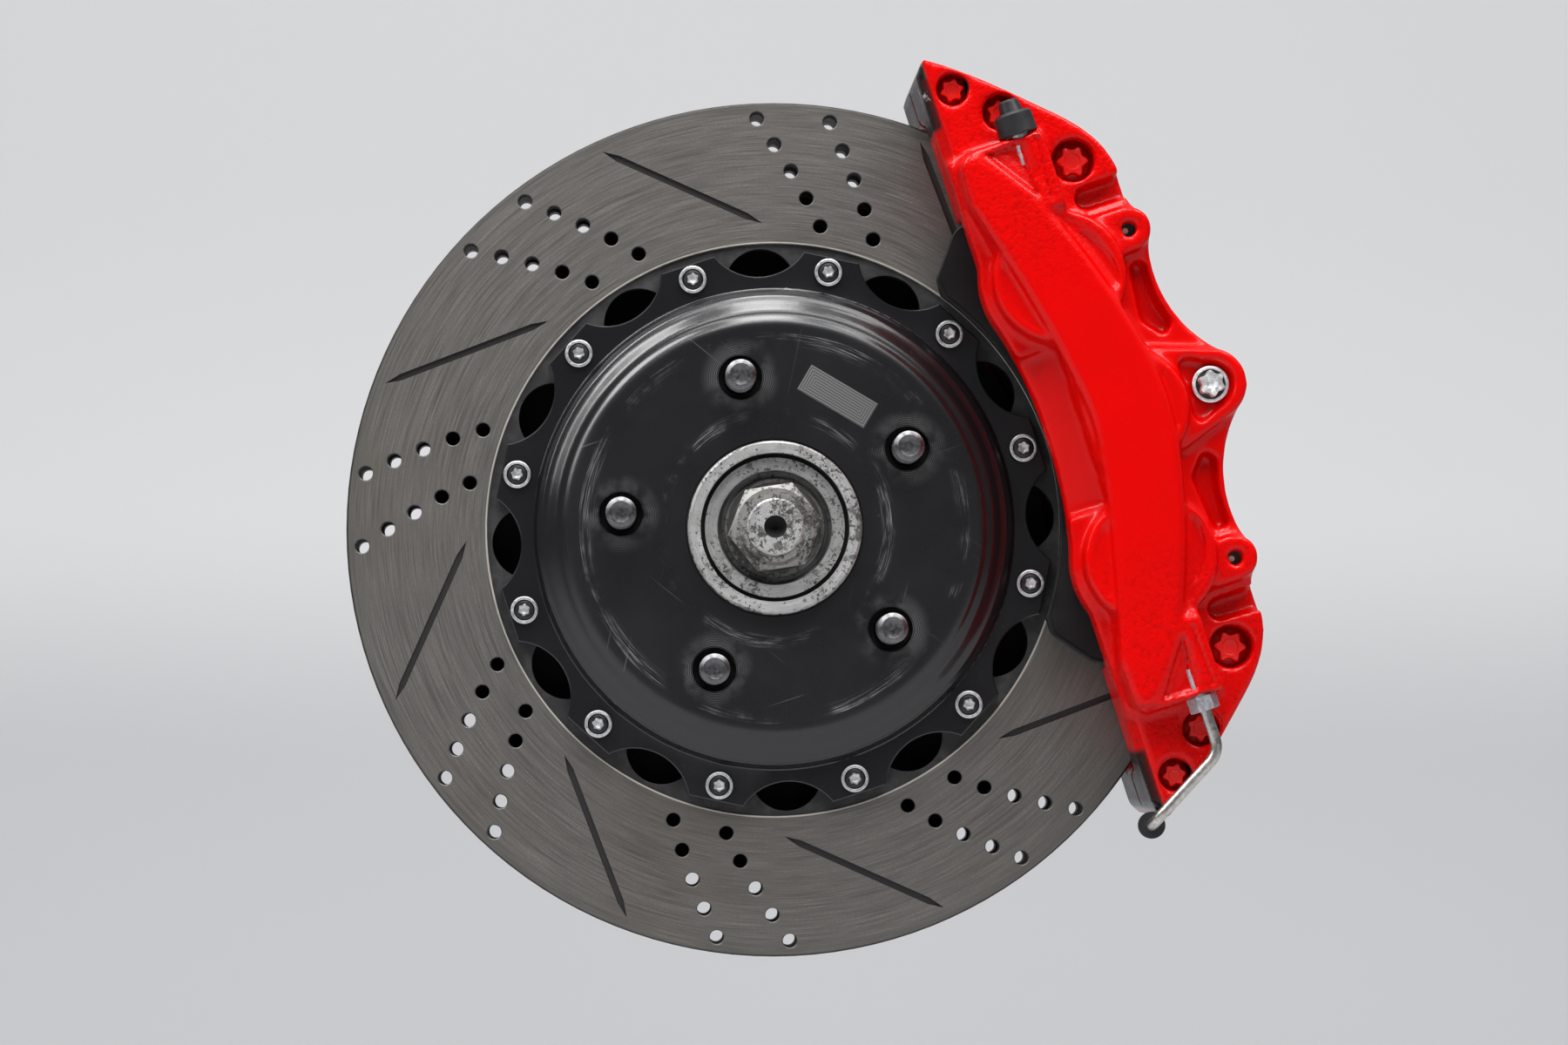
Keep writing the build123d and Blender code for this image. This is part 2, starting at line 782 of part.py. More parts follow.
# ================================================================ WHEEL BEARING
# Two rows of rollers between the race on the hub barrel and the flanged outer ring.
roller_rows = (
    bearing_front_y + roller_row_inset + roller_l,
    bearing_back_y - roller_row_inset,
)
with BuildPart() as bearing_inner_race:
    with BuildSketch(across(bearing_back_y)):
        Circle(race_r)
        Circle(hub_barrel_d / 2 + press_gap, mode=Mode.SUBTRACT)
    extrude(amount=race_l)
bearing_inner_race.part.label = "bearing_inner_race"
export_step(bearing_inner_race.part, "parts/bearing_inner_race.step")

with BuildPart() as bearing_rollers:
    for row_y in roller_rows:
        with BuildSketch(across(row_y)):
            with PolarLocations(roller_circle_r, roller_count):
                Circle(roller_d / 2)
        extrude(amount=roller_l)
bearing_rollers.part.label = "bearing_rollers"
export_step(bearing_rollers.part, "parts/bearing_rollers.step")

with BuildPart() as bearing_cages:
    for row_y in roller_rows:
        with BuildSketch(across(row_y + cage_rim)):
            Circle(roller_circle_r + cage_t / 2)
            Circle(roller_circle_r - cage_t / 2, mode=Mode.SUBTRACT)
        extrude(amount=roller_l + 2 * cage_rim)
        with BuildSketch(across(row_y + hole_clearance)):
            with PolarLocations(roller_circle_r, roller_count):
                Circle(roller_d / 2 + hole_clearance)
        extrude(amount=roller_l + 2 * hole_clearance, mode=Mode.SUBTRACT)
bearing_cages.part.label = "bearing_cages"
export_step(bearing_cages.part, "parts/bearing_cages.step")

outer_race_r = outer_bore_race_r + outer_race_t
with BuildPart() as bearing_outer:
    with BuildSketch(across(shield_y)):
        Circle(outer_race_r)
    extrude(amount=shield_y - bearing_front_y)
    with BuildSketch(across(shield_y)):
        with BuildLine():
            CenterArc((0, 0), outer_race_r + knuckle_bolt_d / 2, 0, 360)
            for corner in range(3):
                CenterArc(
                    polar(knuckle_circle_d / 2, calliper_angle + knuckle_angle + corner * 120),
                    bearing_boss_d / 2,
                    0,
                    360,
                )
        make_hull()
    extrude(amount=bearing_flange_t)
    with BuildSketch(across(knuckle_y + bearing_pilot_reach)):
        Circle(bearing_pilot_d / 2)
    extrude(amount=bearing_pilot_reach + bearing_register_drop)
    with BuildSketch(across(knuckle_y - bearing_register_drop)):
        Circle(bearing_register_d / 2)
    extrude(amount=knuckle_y - bearing_register_drop - shield_y)
    with BuildSketch(across(knuckle_y + bearing_pilot_reach)):
        Circle(outer_bore_race_r)
    extrude(amount=knuckle_y + bearing_pilot_reach - bearing_front_y, mode=Mode.SUBTRACT)
    with BuildSketch(across(shield_y)):
        with PolarLocations(knuckle_circle_d / 2, 3, calliper_angle + knuckle_angle):
            Circle(knuckle_thread_d / 2)
    extrude(amount=bearing_flange_t, mode=Mode.SUBTRACT)
bearing_outer.part.label = "bearing_outer"
export_step(bearing_outer.part, "parts/bearing_outer.step")

with BuildPart() as bearing_seals:
    for seal_y in (bearing_front_y + seal_inset + seal_t, bearing_back_y - seal_inset):
        with BuildSketch(across(seal_y)):
            Circle(outer_bore_race_r - press_gap)
            Circle(race_r + running_gap, mode=Mode.SUBTRACT)
        extrude(amount=seal_t)
bearing_seals.part.label = "bearing_seals"
export_step(bearing_seals.part, "parts/bearing_seals.step")

# ================================================================ SHIELD AND BRACKET
dish_y = friction_in_y + shield_disc_gap
shield_r = shield_d / 2
with BuildPart() as dust_shield:
    with BuildSketch(Plane.XY):
        with BuildLine():
            Polyline(
                (bearing_register_d / 2 + hole_clearance, shield_y),
                (shield_base_r, shield_y),
                (shield_dish_r, dish_y),
                (shield_r - shield_t, dish_y),
                (shield_r - shield_t, dish_y - shield_lip),
                (shield_r, dish_y - shield_lip),
                (shield_r, dish_y + shield_t),
                (shield_dish_r + shield_t, dish_y + shield_t),
                (shield_base_r + shield_t, bracket_y),
                (bearing_register_d / 2 + hole_clearance, bracket_y),
                close=True,
            )
        make_face()
    revolve(axis=Axis.Y)
    with BuildSketch(across(bracket_y, calliper_angle)):
        with Locations((shield_cut_r, 0)):
            Rectangle(shield_d, shield_d, align=(Align.MIN, Align.CENTER))
        Circle(shield_cut_d / 2, mode=Mode.SUBTRACT)
        with PolarLocations(knuckle_circle_d / 2, 3, knuckle_angle):
            Circle(knuckle_bolt_d / 2)
        with PolarLocations(shield_screw_circle_d / 2, 3, shield_screw_angle):
            Circle(shield_screw_d / 2 + hole_clearance)
    extrude(amount=bracket_y - dish_y + 2 * shield_lip, mode=Mode.SUBTRACT)
dust_shield.part.label = "dust_shield"
export_step(dust_shield.part, "parts/dust_shield.step")

with BuildPart() as shield_screws:
    with BuildSketch(across(shield_y, calliper_angle)):
        with PolarLocations(shield_screw_circle_d / 2, 3, shield_screw_angle):
            Circle(shield_screw_head_d / 2)
    extrude(amount=shield_screw_head_t)
    with BuildSketch(across(bracket_y + shield_screw_l, calliper_angle)):
        with PolarLocations(shield_screw_circle_d / 2, 3, shield_screw_angle):
            Circle(shield_screw_d / 2)
    extrude(amount=shield_screw_l + shield_t)
shield_screws.part.label = "shield_screws"
export_step(shield_screws.part, "parts/shield_screws.step")

with BuildPart() as caliper_bracket:
    with BuildSketch(across(lug_seat_y, calliper_angle)):
        with BuildLine():
            CenterArc((0, 0), bracket_hub_r, 0, 360)
            CenterArc((lug_r, lug_t), lug_d / 2, 0, 360)
            CenterArc((lug_r, -lug_t), lug_d / 2, 0, 360)
        make_hull()
        with Locations((lug_r + bracket_scoop_rise, 0)):
            Circle(bracket_scoop_r, mode=Mode.SUBTRACT)
        with Locations((lug_r, lug_t), (lug_r, -lug_t)):
            Circle(mount_bolt_d / 2 + press_gap, mode=Mode.SUBTRACT)
    extrude(amount=bracket_t)
    with BuildSketch(across(knuckle_y)):
        Circle(knuckle_seat_r)
    extrude(amount=knuckle_seat_rise)
    with BuildSketch(across(knuckle_y, calliper_angle)):
        Circle(bearing_register_d / 2 + hole_clearance)
        with PolarLocations(knuckle_circle_d / 2, 3, knuckle_angle):
            Circle(knuckle_bolt_d / 2)
    extrude(amount=bracket_t + knuckle_seat_rise, mode=Mode.SUBTRACT)
    with BuildSketch(across(bracket_y + shield_screw_l, calliper_angle)):
        with PolarLocations(shield_screw_circle_d / 2, 3, shield_screw_angle):
            Circle(shield_screw_d / 2 + press_gap)
    extrude(amount=shield_screw_l, mode=Mode.SUBTRACT)
caliper_bracket.part.label = "caliper_bracket"
export_step(caliper_bracket.part, "parts/caliper_bracket.step")

# ================================================================ CALLIPER CASTINGS
# Rim of the window: an arc that meets the centre ear smoothly.
rim_drop = rim_low_r - centre_bolt_r
rim_arc_r = (rim_drop**2 + rim_low_t**2 - centre_ear_r**2) / (2 * (centre_ear_r - rim_drop))
rim_centre = Vector(rim_low_r + rim_arc_r, rim_low_t)
ear_centre = Vector(centre_bolt_r, 0)
ear_touch = ear_centre + (rim_centre - ear_centre) * (centre_ear_r / (centre_ear_r + rim_arc_r))
ear_touch_angle = degrees(atan2(ear_touch.Y, ear_touch.X - centre_bolt_r))
rim_end_t = pin_t - pin_ear_foot
rim_end = (rim_centre.X - sqrt(rim_arc_r**2 - (rim_end_t - rim_low_t) ** 2), rim_end_t)
rim_mid_t = (ear_touch.Y + rim_end_t) / 2
rim_mid = (rim_centre.X - sqrt(rim_arc_r**2 - (rim_mid_t - rim_low_t) ** 2), rim_mid_t)
end_points = tuple(polar(disc_r + overhang, angle) for angle, overhang in end_rim)
pin_cap_start = (
    pin_r + pin_ear_r * cos(radians(pin_cap_low)),
    pin_t - pin_ear_r * sin(radians(pin_cap_low)),
)
pin_cap_end = (
    pin_r + pin_ear_r * cos(radians(pin_cap_high)),
    pin_t + pin_ear_r * sin(radians(pin_cap_high)),
)

with BuildSketch(Plane.XY) as half_outline:
    with BuildLine():
        CenterArc((centre_bolt_r, 0), centre_ear_r, 0, ear_touch_angle)
        ThreePointArc((ear_touch.X, ear_touch.Y), rim_mid, rim_end)
        Line(rim_end, pin_cap_start)
        ThreePointArc(pin_cap_start, (pin_r + pin_ear_r, pin_t), pin_cap_end)
        Polyline(pin_cap_end, (top_land_r, top_land_t), end_points[0])
        Spline(*end_points)
        Polyline(
            end_points[-1],
            (nose_r, nose_t),
            (tip_low_r, tip_low_t),
            (skirt_r, port_end_t),
            (skirt_r, belly_start_t),
        )
        ThreePointArc((skirt_r, belly_start_t), (belly_r, belly_t), (skirt_r, arch_t))
        ThreePointArc((skirt_r, arch_t), (arch_knee_r, arch_knee_t), (arch_r, 0))
        mirror(about=Plane.XZ)
    make_face()

# Band: the broad raised plate across the face.
with BuildSketch(Plane.XY) as band_outline:
    with BuildLine():
        Spline(*band_upper, tangents=((0, 1), band_upper_way))
        ThreePointArc(band_upper[-1], *band_heel)
        Line(band_heel[-1], band_sole[0])
        Spline(*band_sole, tangents=(band_sole_way, (0, -1)))
        mirror(about=Plane.XZ)
    make_face()

with BuildPart() as band:
    with BuildSketch(calliper_plane(land_depth - edge_round)):
        add(band_outline.sketch)
    extrude(amount=band_depth - land_depth + edge_round, taper=band_taper)
    fillet(band.faces().sort_by(Axis.Y)[0].edges(), edge_round)

with BuildPart() as bulges:
    with BuildSketch(calliper_plane(land_depth - edge_round)):
        with Locations((outer_bore_r, outer_bore_t), (outer_bore_r, -outer_bore_t)):
            Circle(outer_bulge_d / 2)
        with Locations((middle_bore_r, 0)):
            Circle(middle_bulge_d / 2)
    extrude(amount=bulge_depth - land_depth + edge_round)
    fillet(bulges.faces().group_by(Axis.Y)[0].edges(), bulge_round)
    with BuildSketch(calliper_plane(bulge_depth - bulge_hollow_depth)):
        with Locations((outer_bore_r, outer_bore_t), (outer_bore_r, -outer_bore_t)):
            Circle(outer_bulge_d / 2 - bulge_rim_w)
        with Locations((middle_bore_r, 0)):
            Circle(middle_bulge_d / 2 - bulge_rim_w)
    extrude(amount=bulge_hollow_depth, mode=Mode.SUBTRACT)

with BuildPart() as bosses:
    with BuildSketch(calliper_plane(land_depth - edge_round)):
        with Locations(
            ((port_top_r + boss_low_r) / 2, (port_end_t + port_start_t) / 2),
            ((port_top_r + boss_low_r) / 2, -(port_end_t + port_start_t) / 2),
        ):
            Rectangle(port_top_r - boss_low_r, port_end_t - port_start_t)
    extrude(amount=boss_depth - land_depth + edge_round)
    fillet(bosses.faces().group_by(Axis.Y)[0].edges(), edge_round)
    with BuildSketch(calliper_plane(boss_depth - boss_hollow_depth)):
        with BuildLine():
            Polyline(*boss_hollow, close=True)
        make_face()
        mirror(about=Plane.XZ)
    extrude(amount=boss_hollow_depth, mode=Mode.SUBTRACT)

with BuildPart() as ears:
    with BuildSketch(calliper_plane(land_depth - edge_round)):
        with Locations((centre_bolt_r, 0)):
            Circle(centre_ear_r)
        with BuildLine():
            Polyline(
                (centre_bolt_r + ear_web_rise, -ear_web_half_w),
                (centre_bolt_r + ear_web_rise, ear_web_half_w),
                (ear_web_foot_r, ear_web_foot_t),
                (ear_web_mid_r, 0),
                (ear_web_foot_r, -ear_web_foot_t),
                close=True,
            )
        make_face()
        with Locations((pin_r, pin_t), (pin_r, -pin_t)):
            Circle(pin_ear_r)
        with Locations((pin_r - pin_ear_r, pin_t), (pin_r - pin_ear_r, -pin_t)):
            Rectangle(pin_ear_r * 2, pin_ear_r * 2)
    extrude(amount=ear_depth - land_depth + edge_round)

piston_sites = (
    (outer_bore_r, outer_bore_t, outer_piston_d),
    (outer_bore_r, -outer_bore_t, outer_piston_d),
    (middle_bore_r, 0, middle_piston_d),
)


def cut_piston_bores(place, way):
    """Cuts the bores with their seal and wiper grooves; place gives planes by depth, way the side."""
    for site_r, site_t, site_d in piston_sites:
        for start, length, radius in (
            (pad_space, bore_depth, site_d / 2 + bore_clearance),
            (pad_space + seal_groove_at, seal_groove_w, site_d / 2 + seal_groove_depth),
            (pad_space, wiper_w, site_d / 2 + wiper_depth),
        ):
            with BuildSketch(place(start)) as ring:
                with Locations((site_r, site_t)):
                    Circle(radius)
            extrude(ring.sketch, amount=way * length, mode=Mode.SUBTRACT)


bridge_inner_r = disc_r + rim_clearance
abutment_t = pad_half_width + wear_plate_gap + wear_plate_t
with BuildPart() as half_casting:
    with BuildSketch(calliper_plane(pad_space)):
        add(half_outline.sketch)
    extrude(amount=land_depth - pad_space)
    add(bulges.part)
    add(band.part)
    add(bosses.part)
    add(ears.part)
    # End blocks beside the pads, and the bridges over the rim of the disc.
    with BuildSketch(calliper_plane(disc_clearance)):
        add(half_outline.sketch)
        Rectangle(4 * disc_r, 2 * abutment_t, mode=Mode.SUBTRACT)
    extrude(amount=pad_space - disc_clearance)
    with BuildSketch(calliper_plane(-disc_t / 2)):
        add(half_outline.sketch)
        Rectangle(4 * disc_r, 2 * abutment_t, mode=Mode.SUBTRACT)
        Circle(bridge_inner_r, mode=Mode.SUBTRACT)
    extrude(amount=disc_clearance + disc_t / 2)
    # Hollow between the ears and the band, and a scoop beside each pin ear.
    with BuildSketch(calliper_plane(land_depth - rim_hollow_depth)) as hollows:
        with BuildLine():
            Polyline(*rim_hollow, close=True)
        make_face()
        fillet(hollows.vertices(), rim_hollow_round)
        mirror(about=Plane.XZ)
    extrude(amount=boss_depth, mode=Mode.SUBTRACT)
    with BuildSketch(calliper_plane(land_depth - scoop_depth)):
        with Locations((scoop_r, scoop_t), (scoop_r, -scoop_t)):
            SlotOverall(scoop_l, scoop_w)
    extrude(amount=boss_depth, mode=Mode.SUBTRACT)
    # Bevel along the lower side of each end block.
    with BuildSketch(along_plane(nose_t)):
        with BuildLine():
            Polyline(
                (tip_low_r - end_bevel_w, land_depth - end_bevel_depth),
                (tip_low_r, land_depth - end_bevel_depth),
                (tip_low_r + end_bevel_w, land_depth),
                (tip_low_r + end_bevel_w, boss_depth),
                (tip_low_r - end_bevel_w, boss_depth),
                close=True,
            )
        make_face()
    extrude(amount=nose_t - port_end_t, mode=Mode.SUBTRACT)
    with BuildSketch(along_plane(-port_end_t)):
        with BuildLine():
            Polyline(
                (tip_low_r - end_bevel_w, land_depth - end_bevel_depth),
                (tip_low_r, land_depth - end_bevel_depth),
                (tip_low_r + end_bevel_w, land_depth),
                (tip_low_r + end_bevel_w, boss_depth),
                (tip_low_r - end_bevel_w, boss_depth),
                close=True,
            )
        make_face()
    extrude(amount=nose_t - port_end_t, mode=Mode.SUBTRACT)
    # Lower bevel under the middle bore, falling towards the disc.
    with BuildSketch(along_plane(0)):
        with BuildLine():
            Polyline(
                (bevel_high_r, land_depth),
                (bevel_low_r, land_depth - bevel_drop),
                (pad_toe_r, land_depth - bevel_drop),
                (pad_toe_r, bulge_depth),
                (bevel_high_r, bulge_depth),
                close=True,
            )
        make_face()
    extrude(amount=bevel_half_l, both=True, mode=Mode.SUBTRACT)
    # Pin holes, centre bolt hole and the ports for bleeder and pipe.
    with BuildSketch(calliper_plane(pad_space)):
        with Locations((pin_r, pin_t), (pin_r, -pin_t)):
            Circle(pin_d / 2 + hole_clearance)
        with Locations((centre_bolt_r, 0)):
            Circle(centre_bolt_d / 2 + hole_clearance)
    extrude(amount=boss_depth, mode=Mode.SUBTRACT)
    with BuildSketch(calliper_plane(land_depth)):
        with BuildLine():
            CenterArc((centre_bolt_r, 0), centre_pocket_r, 0, 360)
            CenterArc((centre_bolt_r - centre_corner_drop, centre_corner_t), centre_corner_r, 0, 360)
            CenterArc((centre_bolt_r - centre_corner_drop, -centre_corner_t), centre_corner_r, 0, 360)
        make_hull()
    extrude(amount=boss_depth, mode=Mode.SUBTRACT)
    with BuildSketch(along_plane(port_end_t)):
        with Locations((port_r, port_depth)):
            Circle(port_hole_d / 2)
    extrude(amount=port_hole_l, mode=Mode.SUBTRACT)
    with BuildSketch(along_plane(-port_end_t)):
        with Locations((port_r, port_depth)):
            Circle(port_hole_d / 2)
    extrude(amount=-port_hole_l, mode=Mode.SUBTRACT)

with BuildPart() as caliper_outer:
    add(half_casting.part)
    cut_piston_bores(calliper_plane, 1)
    for bolt_r, bolt_t, bolt_d, well_d in bridge_bolts:
        with BuildSketch(calliper_plane(land_depth - bridge_counterbore)):
            with Locations((bolt_r, bolt_t), (bolt_r, -bolt_t)):
                Circle(well_d / 2)
        extrude(amount=boss_depth, mode=Mode.SUBTRACT)
        with BuildSketch(calliper_plane(-disc_t / 2)):
            with Locations((bolt_r, bolt_t), (bolt_r, -bolt_t)):
                Circle(bolt_d / 2 + hole_clearance)
        extrude(amount=disc_t / 2 + land_depth, mode=Mode.SUBTRACT)
caliper_outer.part.label = "caliper_outer"
export_step(caliper_outer.part, "parts/caliper_outer.step")

lug_root_r = outer_bore_r - outer_bulge_d / 2 + lug_root_rise
with BuildPart() as caliper_inner:
    mirror(half_casting.part, about=mid_plane)
    with BuildSketch(across(lug_back_y, calliper_angle)):
        for side in (1, -1):
            with BuildLine():
                CenterArc((lug_r, side * lug_t), lug_d / 2, 0, 360)
                CenterArc((lug_root_r, side * outer_bore_t), lug_d / 2 + lug_root_extra_r, 0, 360)
            make_hull()
    extrude(amount=lug_thickness)
    with BuildSketch(across(lug_back_y, calliper_angle)):
        with Locations((lug_r, lug_t), (lug_r, -lug_t)):
            Circle(mount_bolt_d / 2 + hole_clearance)
    extrude(amount=lug_thickness, mode=Mode.SUBTRACT)
    cut_piston_bores(inner_plane, -1)
    for bolt_r, bolt_t, bolt_d, well_d in bridge_bolts:
        with BuildSketch(calliper_plane(-disc_t / 2)):
            with Locations((bolt_r, bolt_t), (bolt_r, -bolt_t)):
                Circle(bolt_d / 2 + press_gap)
        extrude(amount=-bridge_thread_l, mode=Mode.SUBTRACT)
    with BuildSketch(inner_plane(boss_depth)):
        with Locations((inlet_r, inlet_t)):
            Circle(port_hole_d / 2)
    extrude(amount=inlet_stem_l, mode=Mode.SUBTRACT)
caliper_inner.part.label = "caliper_inner"
export_step(caliper_inner.part, "parts/caliper_inner.step")

# ---------------------------------------------------------------- bolts that hold the calliper together
with BuildPart() as bridge_bolt_set:
    for bolt_r, bolt_t, bolt_d, well_d in bridge_bolts:
        with BuildSketch(calliper_plane(-disc_t / 2 - bridge_thread_l)):
            with Locations((bolt_r, bolt_t), (bolt_r, -bolt_t)):
                Circle(bolt_d / 2)
        extrude(amount=bridge_thread_l + disc_t / 2 + land_depth - bridge_counterbore)
        with BuildSketch(calliper_plane(land_depth - bridge_counterbore)):
            with Locations((bolt_r, bolt_t), (bolt_r, -bolt_t)):
                Circle(well_d / 2 - bridge_flange_slack)
        extrude(amount=bridge_flange_t)
        with BuildSketch(calliper_plane(land_depth - bridge_counterbore)):
            with Locations((bolt_r, bolt_t), (bolt_r, -bolt_t)):
                RegularPolygon(well_d / 2 - bridge_head_slack, 6)
        extrude(amount=bridge_head_t)
bridge_bolt_set.part.label = "bridge_bolts"
export_step(bridge_bolt_set.part, "parts/bridge_bolts.step")

centre_span = disc_t + 2 * land_depth
with BuildPart() as center_bridge_bolt:
    with BuildSketch(inner_plane(land_depth + centre_flange_t + centre_head_t)):
        with Locations((centre_bolt_r, 0)):
            Circle(centre_bolt_d / 2)
    extrude(amount=centre_span + centre_flange_t + centre_head_t)
    with BuildSketch(calliper_plane(land_depth)):
        with Locations((centre_bolt_r, 0)):
            Circle(centre_flange_d / 2)
    extrude(amount=centre_flange_t)
    with BuildSketch(calliper_plane(land_depth + centre_flange_t)):
        with Locations((centre_bolt_r, 0)):
            RegularPolygon(centre_head_d / 2, 6)
    extrude(amount=centre_head_t)
center_bridge_bolt.part.label = "center_bridge_bolt"
export_step(center_bridge_bolt.part, "parts/center_bridge_bolt.step")

with BuildPart() as center_bridge_nut:
    with BuildSketch(inner_plane(land_depth)):
        with Locations((centre_bolt_r, 0)):
            Circle(centre_flange_d / 2)
            Circle(centre_bolt_d / 2 + press_gap, mode=Mode.SUBTRACT)
    extrude(amount=-centre_flange_t)
    with BuildSketch(inner_plane(land_depth + centre_flange_t)):
        with Locations((centre_bolt_r, 0)):
            RegularPolygon(centre_flange_d / 2 - centre_nut_slack, 6)
            Circle(centre_bolt_d / 2 + press_gap, mode=Mode.SUBTRACT)
    extrude(amount=-centre_nut_t)
center_bridge_nut.part.label = "center_bridge_nut"
export_step(center_bridge_nut.part, "parts/center_bridge_nut.step")

with BuildPart() as center_bridge_spacer:
    with BuildSketch(inner_plane(pad_space)):
        with Locations((centre_bolt_r, 0)):
            Circle(spacer_d / 2)
            Circle(centre_bolt_d / 2 + hole_clearance, mode=Mode.SUBTRACT)
    extrude(amount=disc_t + 2 * pad_space)
center_bridge_spacer.part.label = "center_bridge_spacer"
export_step(center_bridge_spacer.part, "parts/center_bridge_spacer.step")

with BuildPart() as caliper_mount_bolts:
    with BuildSketch(across(lug_back_y + mount_washer_t, calliper_angle)):
        with Locations((lug_r, lug_t), (lug_r, -lug_t)):
            Circle(mount_bolt_d / 2)
    extrude(amount=mount_washer_t + lug_thickness + bracket_t)
    with BuildSketch(across(lug_back_y + mount_washer_t + mount_bolt_head_t, calliper_angle)):
        with Locations((lug_r, lug_t), (lug_r, -lug_t)):
            RegularPolygon(mount_bolt_flats / 2, 6, major_radius=False)
    extrude(amount=mount_bolt_head_t)
caliper_mount_bolts.part.label = "caliper_mount_bolts"
export_step(caliper_mount_bolts.part, "parts/caliper_mount_bolts.step")

with BuildPart() as caliper_mount_washers:
    with BuildSketch(across(lug_back_y + mount_washer_t, calliper_angle)):
        with Locations((lug_r, lug_t), (lug_r, -lug_t)):
            Circle(mount_washer_d / 2)
            Circle(mount_bolt_d / 2 + hole_clearance, mode=Mode.SUBTRACT)
    extrude(amount=mount_washer_t)
caliper_mount_washers.part.label = "caliper_mount_washers"
export_step(caliper_mount_washers.part, "parts/caliper_mount_washers.step")

pin_end_depth = ear_depth - pin_recess
with BuildPart() as pad_pins:
    with BuildSketch(inner_plane(ear_depth)):
        with Locations((pin_r, pin_t), (pin_r, -pin_t)):
            Circle(pin_d / 2)
    extrude(amount=ear_depth + disc_t + pin_end_depth)
    with BuildSketch(inner_plane(ear_depth)):
        with Locations((pin_r, pin_t), (pin_r, -pin_t)):
            Circle(pin_head_d / 2)
    extrude(amount=-pin_head_t)
pad_pins.part.label = "pad_pins"
export_step(pad_pins.part, "parts/pad_pins.step")

# ================================================================ PADS
def pad_outline(inset):
    """Outline of the pad on (r, t), drawn in by inset all round: two arcs with a cut-back toe each side."""
    inner_r = pad_inner_r + inset
    outer_r = pad_outer_r - inset
    half_width = pad_half_width - inset
    toe_r = pad_toe_r + inset
    toe_t = pad_toe_t - inset / 2
    toe_start_t = toe_t - pad_toe_l
    toe_start_r = sqrt(inner_r**2 - toe_start_t**2)
    top_r = sqrt(outer_r**2 - half_width**2)
    with BuildSketch(Plane.XY) as outline:
        with BuildLine():
            ThreePointArc((inner_r, 0), polar(inner_r, pad_inner_angle), (toe_start_r, toe_start_t))
            side = FilletPolyline(
                (toe_start_r, toe_start_t),
                (toe_r - pad_toe_slope, toe_t),
                (pad_corner_r + inset / 2, half_width),
                (top_r, half_width),
                radius=pad_toe_radii,
            )
            ThreePointArc(side @ 1, polar(outer_r, pad_outer_angle), (outer_r, 0))
            mirror(about=Plane.XZ)
        make_face()
    return outline.sketch


plate_depth = pad_gap + friction_t
shim_depth = plate_depth + pad_plate_t
piston_depth = shim_depth + shim_t
with BuildPart() as outer_pad_plate:
    with BuildSketch(calliper_plane(plate_depth)):
        add(pad_outline(0))
        for side_t in (pin_t, -pin_t):
            with Locations((pin_r, side_t)):
                Circle(pad_ear_r)
            with Locations((pin_r - pad_ear_r, side_t)):
                Rectangle(2 * pad_ear_r, 2 * pad_ear_r)
            with Locations((pin_r, side_t)):
                Circle(pin_d / 2 + pin_slack, mode=Mode.SUBTRACT)
    extrude(amount=pad_plate_t)
    chamfer(outer_pad_plate.faces().sort_by(Axis.Y)[0].edges(), pad_edge)
outer_pad_plate.part.label = "outer_pad_plate"
export_step(outer_pad_plate.part, "parts/outer_pad_plate.step")

with BuildPart() as outer_pad_friction:
    with BuildSketch(calliper_plane(pad_gap)):
        add(pad_outline(friction_inset))
    extrude(amount=friction_t)
    with BuildSketch(calliper_plane(pad_gap)):
        with Locations((pad_inner_r, 0)):
            Rectangle(2 * pad_inner_r, pad_slot_w)
    extrude(amount=pad_slot_depth, mode=Mode.SUBTRACT)
outer_pad_friction.part.label = "outer_pad_friction"
export_step(outer_pad_friction.part, "parts/outer_pad_friction.step")

with BuildPart() as outer_pad_shim:
    with BuildSketch(calliper_plane(shim_depth)):
        add(pad_outline(friction_inset / 2))
    extrude(amount=shim_t)
outer_pad_shim.part.label = "outer_pad_shim"
export_step(outer_pad_shim.part, "parts/outer_pad_shim.step")

with BuildPart() as inner_pad_plate:
    mirror(outer_pad_plate.part, about=mid_plane)
inner_pad_plate.part.label = "inner_pad_plate"
export_step(inner_pad_plate.part, "parts/inner_pad_plate.step")

with BuildPart() as inner_pad_friction:
    mirror(outer_pad_friction.part, about=mid_plane)
inner_pad_friction.part.label = "inner_pad_friction"
export_step(inner_pad_friction.part, "parts/inner_pad_friction.step")

with BuildPart() as inner_pad_shim:
    mirror(outer_pad_shim.part, about=mid_plane)
inner_pad_shim.part.label = "inner_pad_shim"
export_step(inner_pad_shim.part, "parts/inner_pad_shim.step")

# Stainless wear plates on the four abutments that take the pads' pull.
wear_t = abutment_t - wear_plate_t / 2
wear_mid_r = (wear_plate_low_r + wear_plate_high_r) / 2
with BuildPart() as abutment_plates:
    with BuildSketch(calliper_plane(disc_clearance)):
        with Locations((wear_mid_r, wear_t), (wear_mid_r, -wear_t)):
            Rectangle(wear_plate_high_r - wear_plate_low_r, wear_plate_t)
    extrude(amount=pad_space - disc_clearance)
    mirror(about=mid_plane)
abutment_plates.part.label = "abutment_plates"
export_step(abutment_plates.part, "parts/abutment_plates.step")

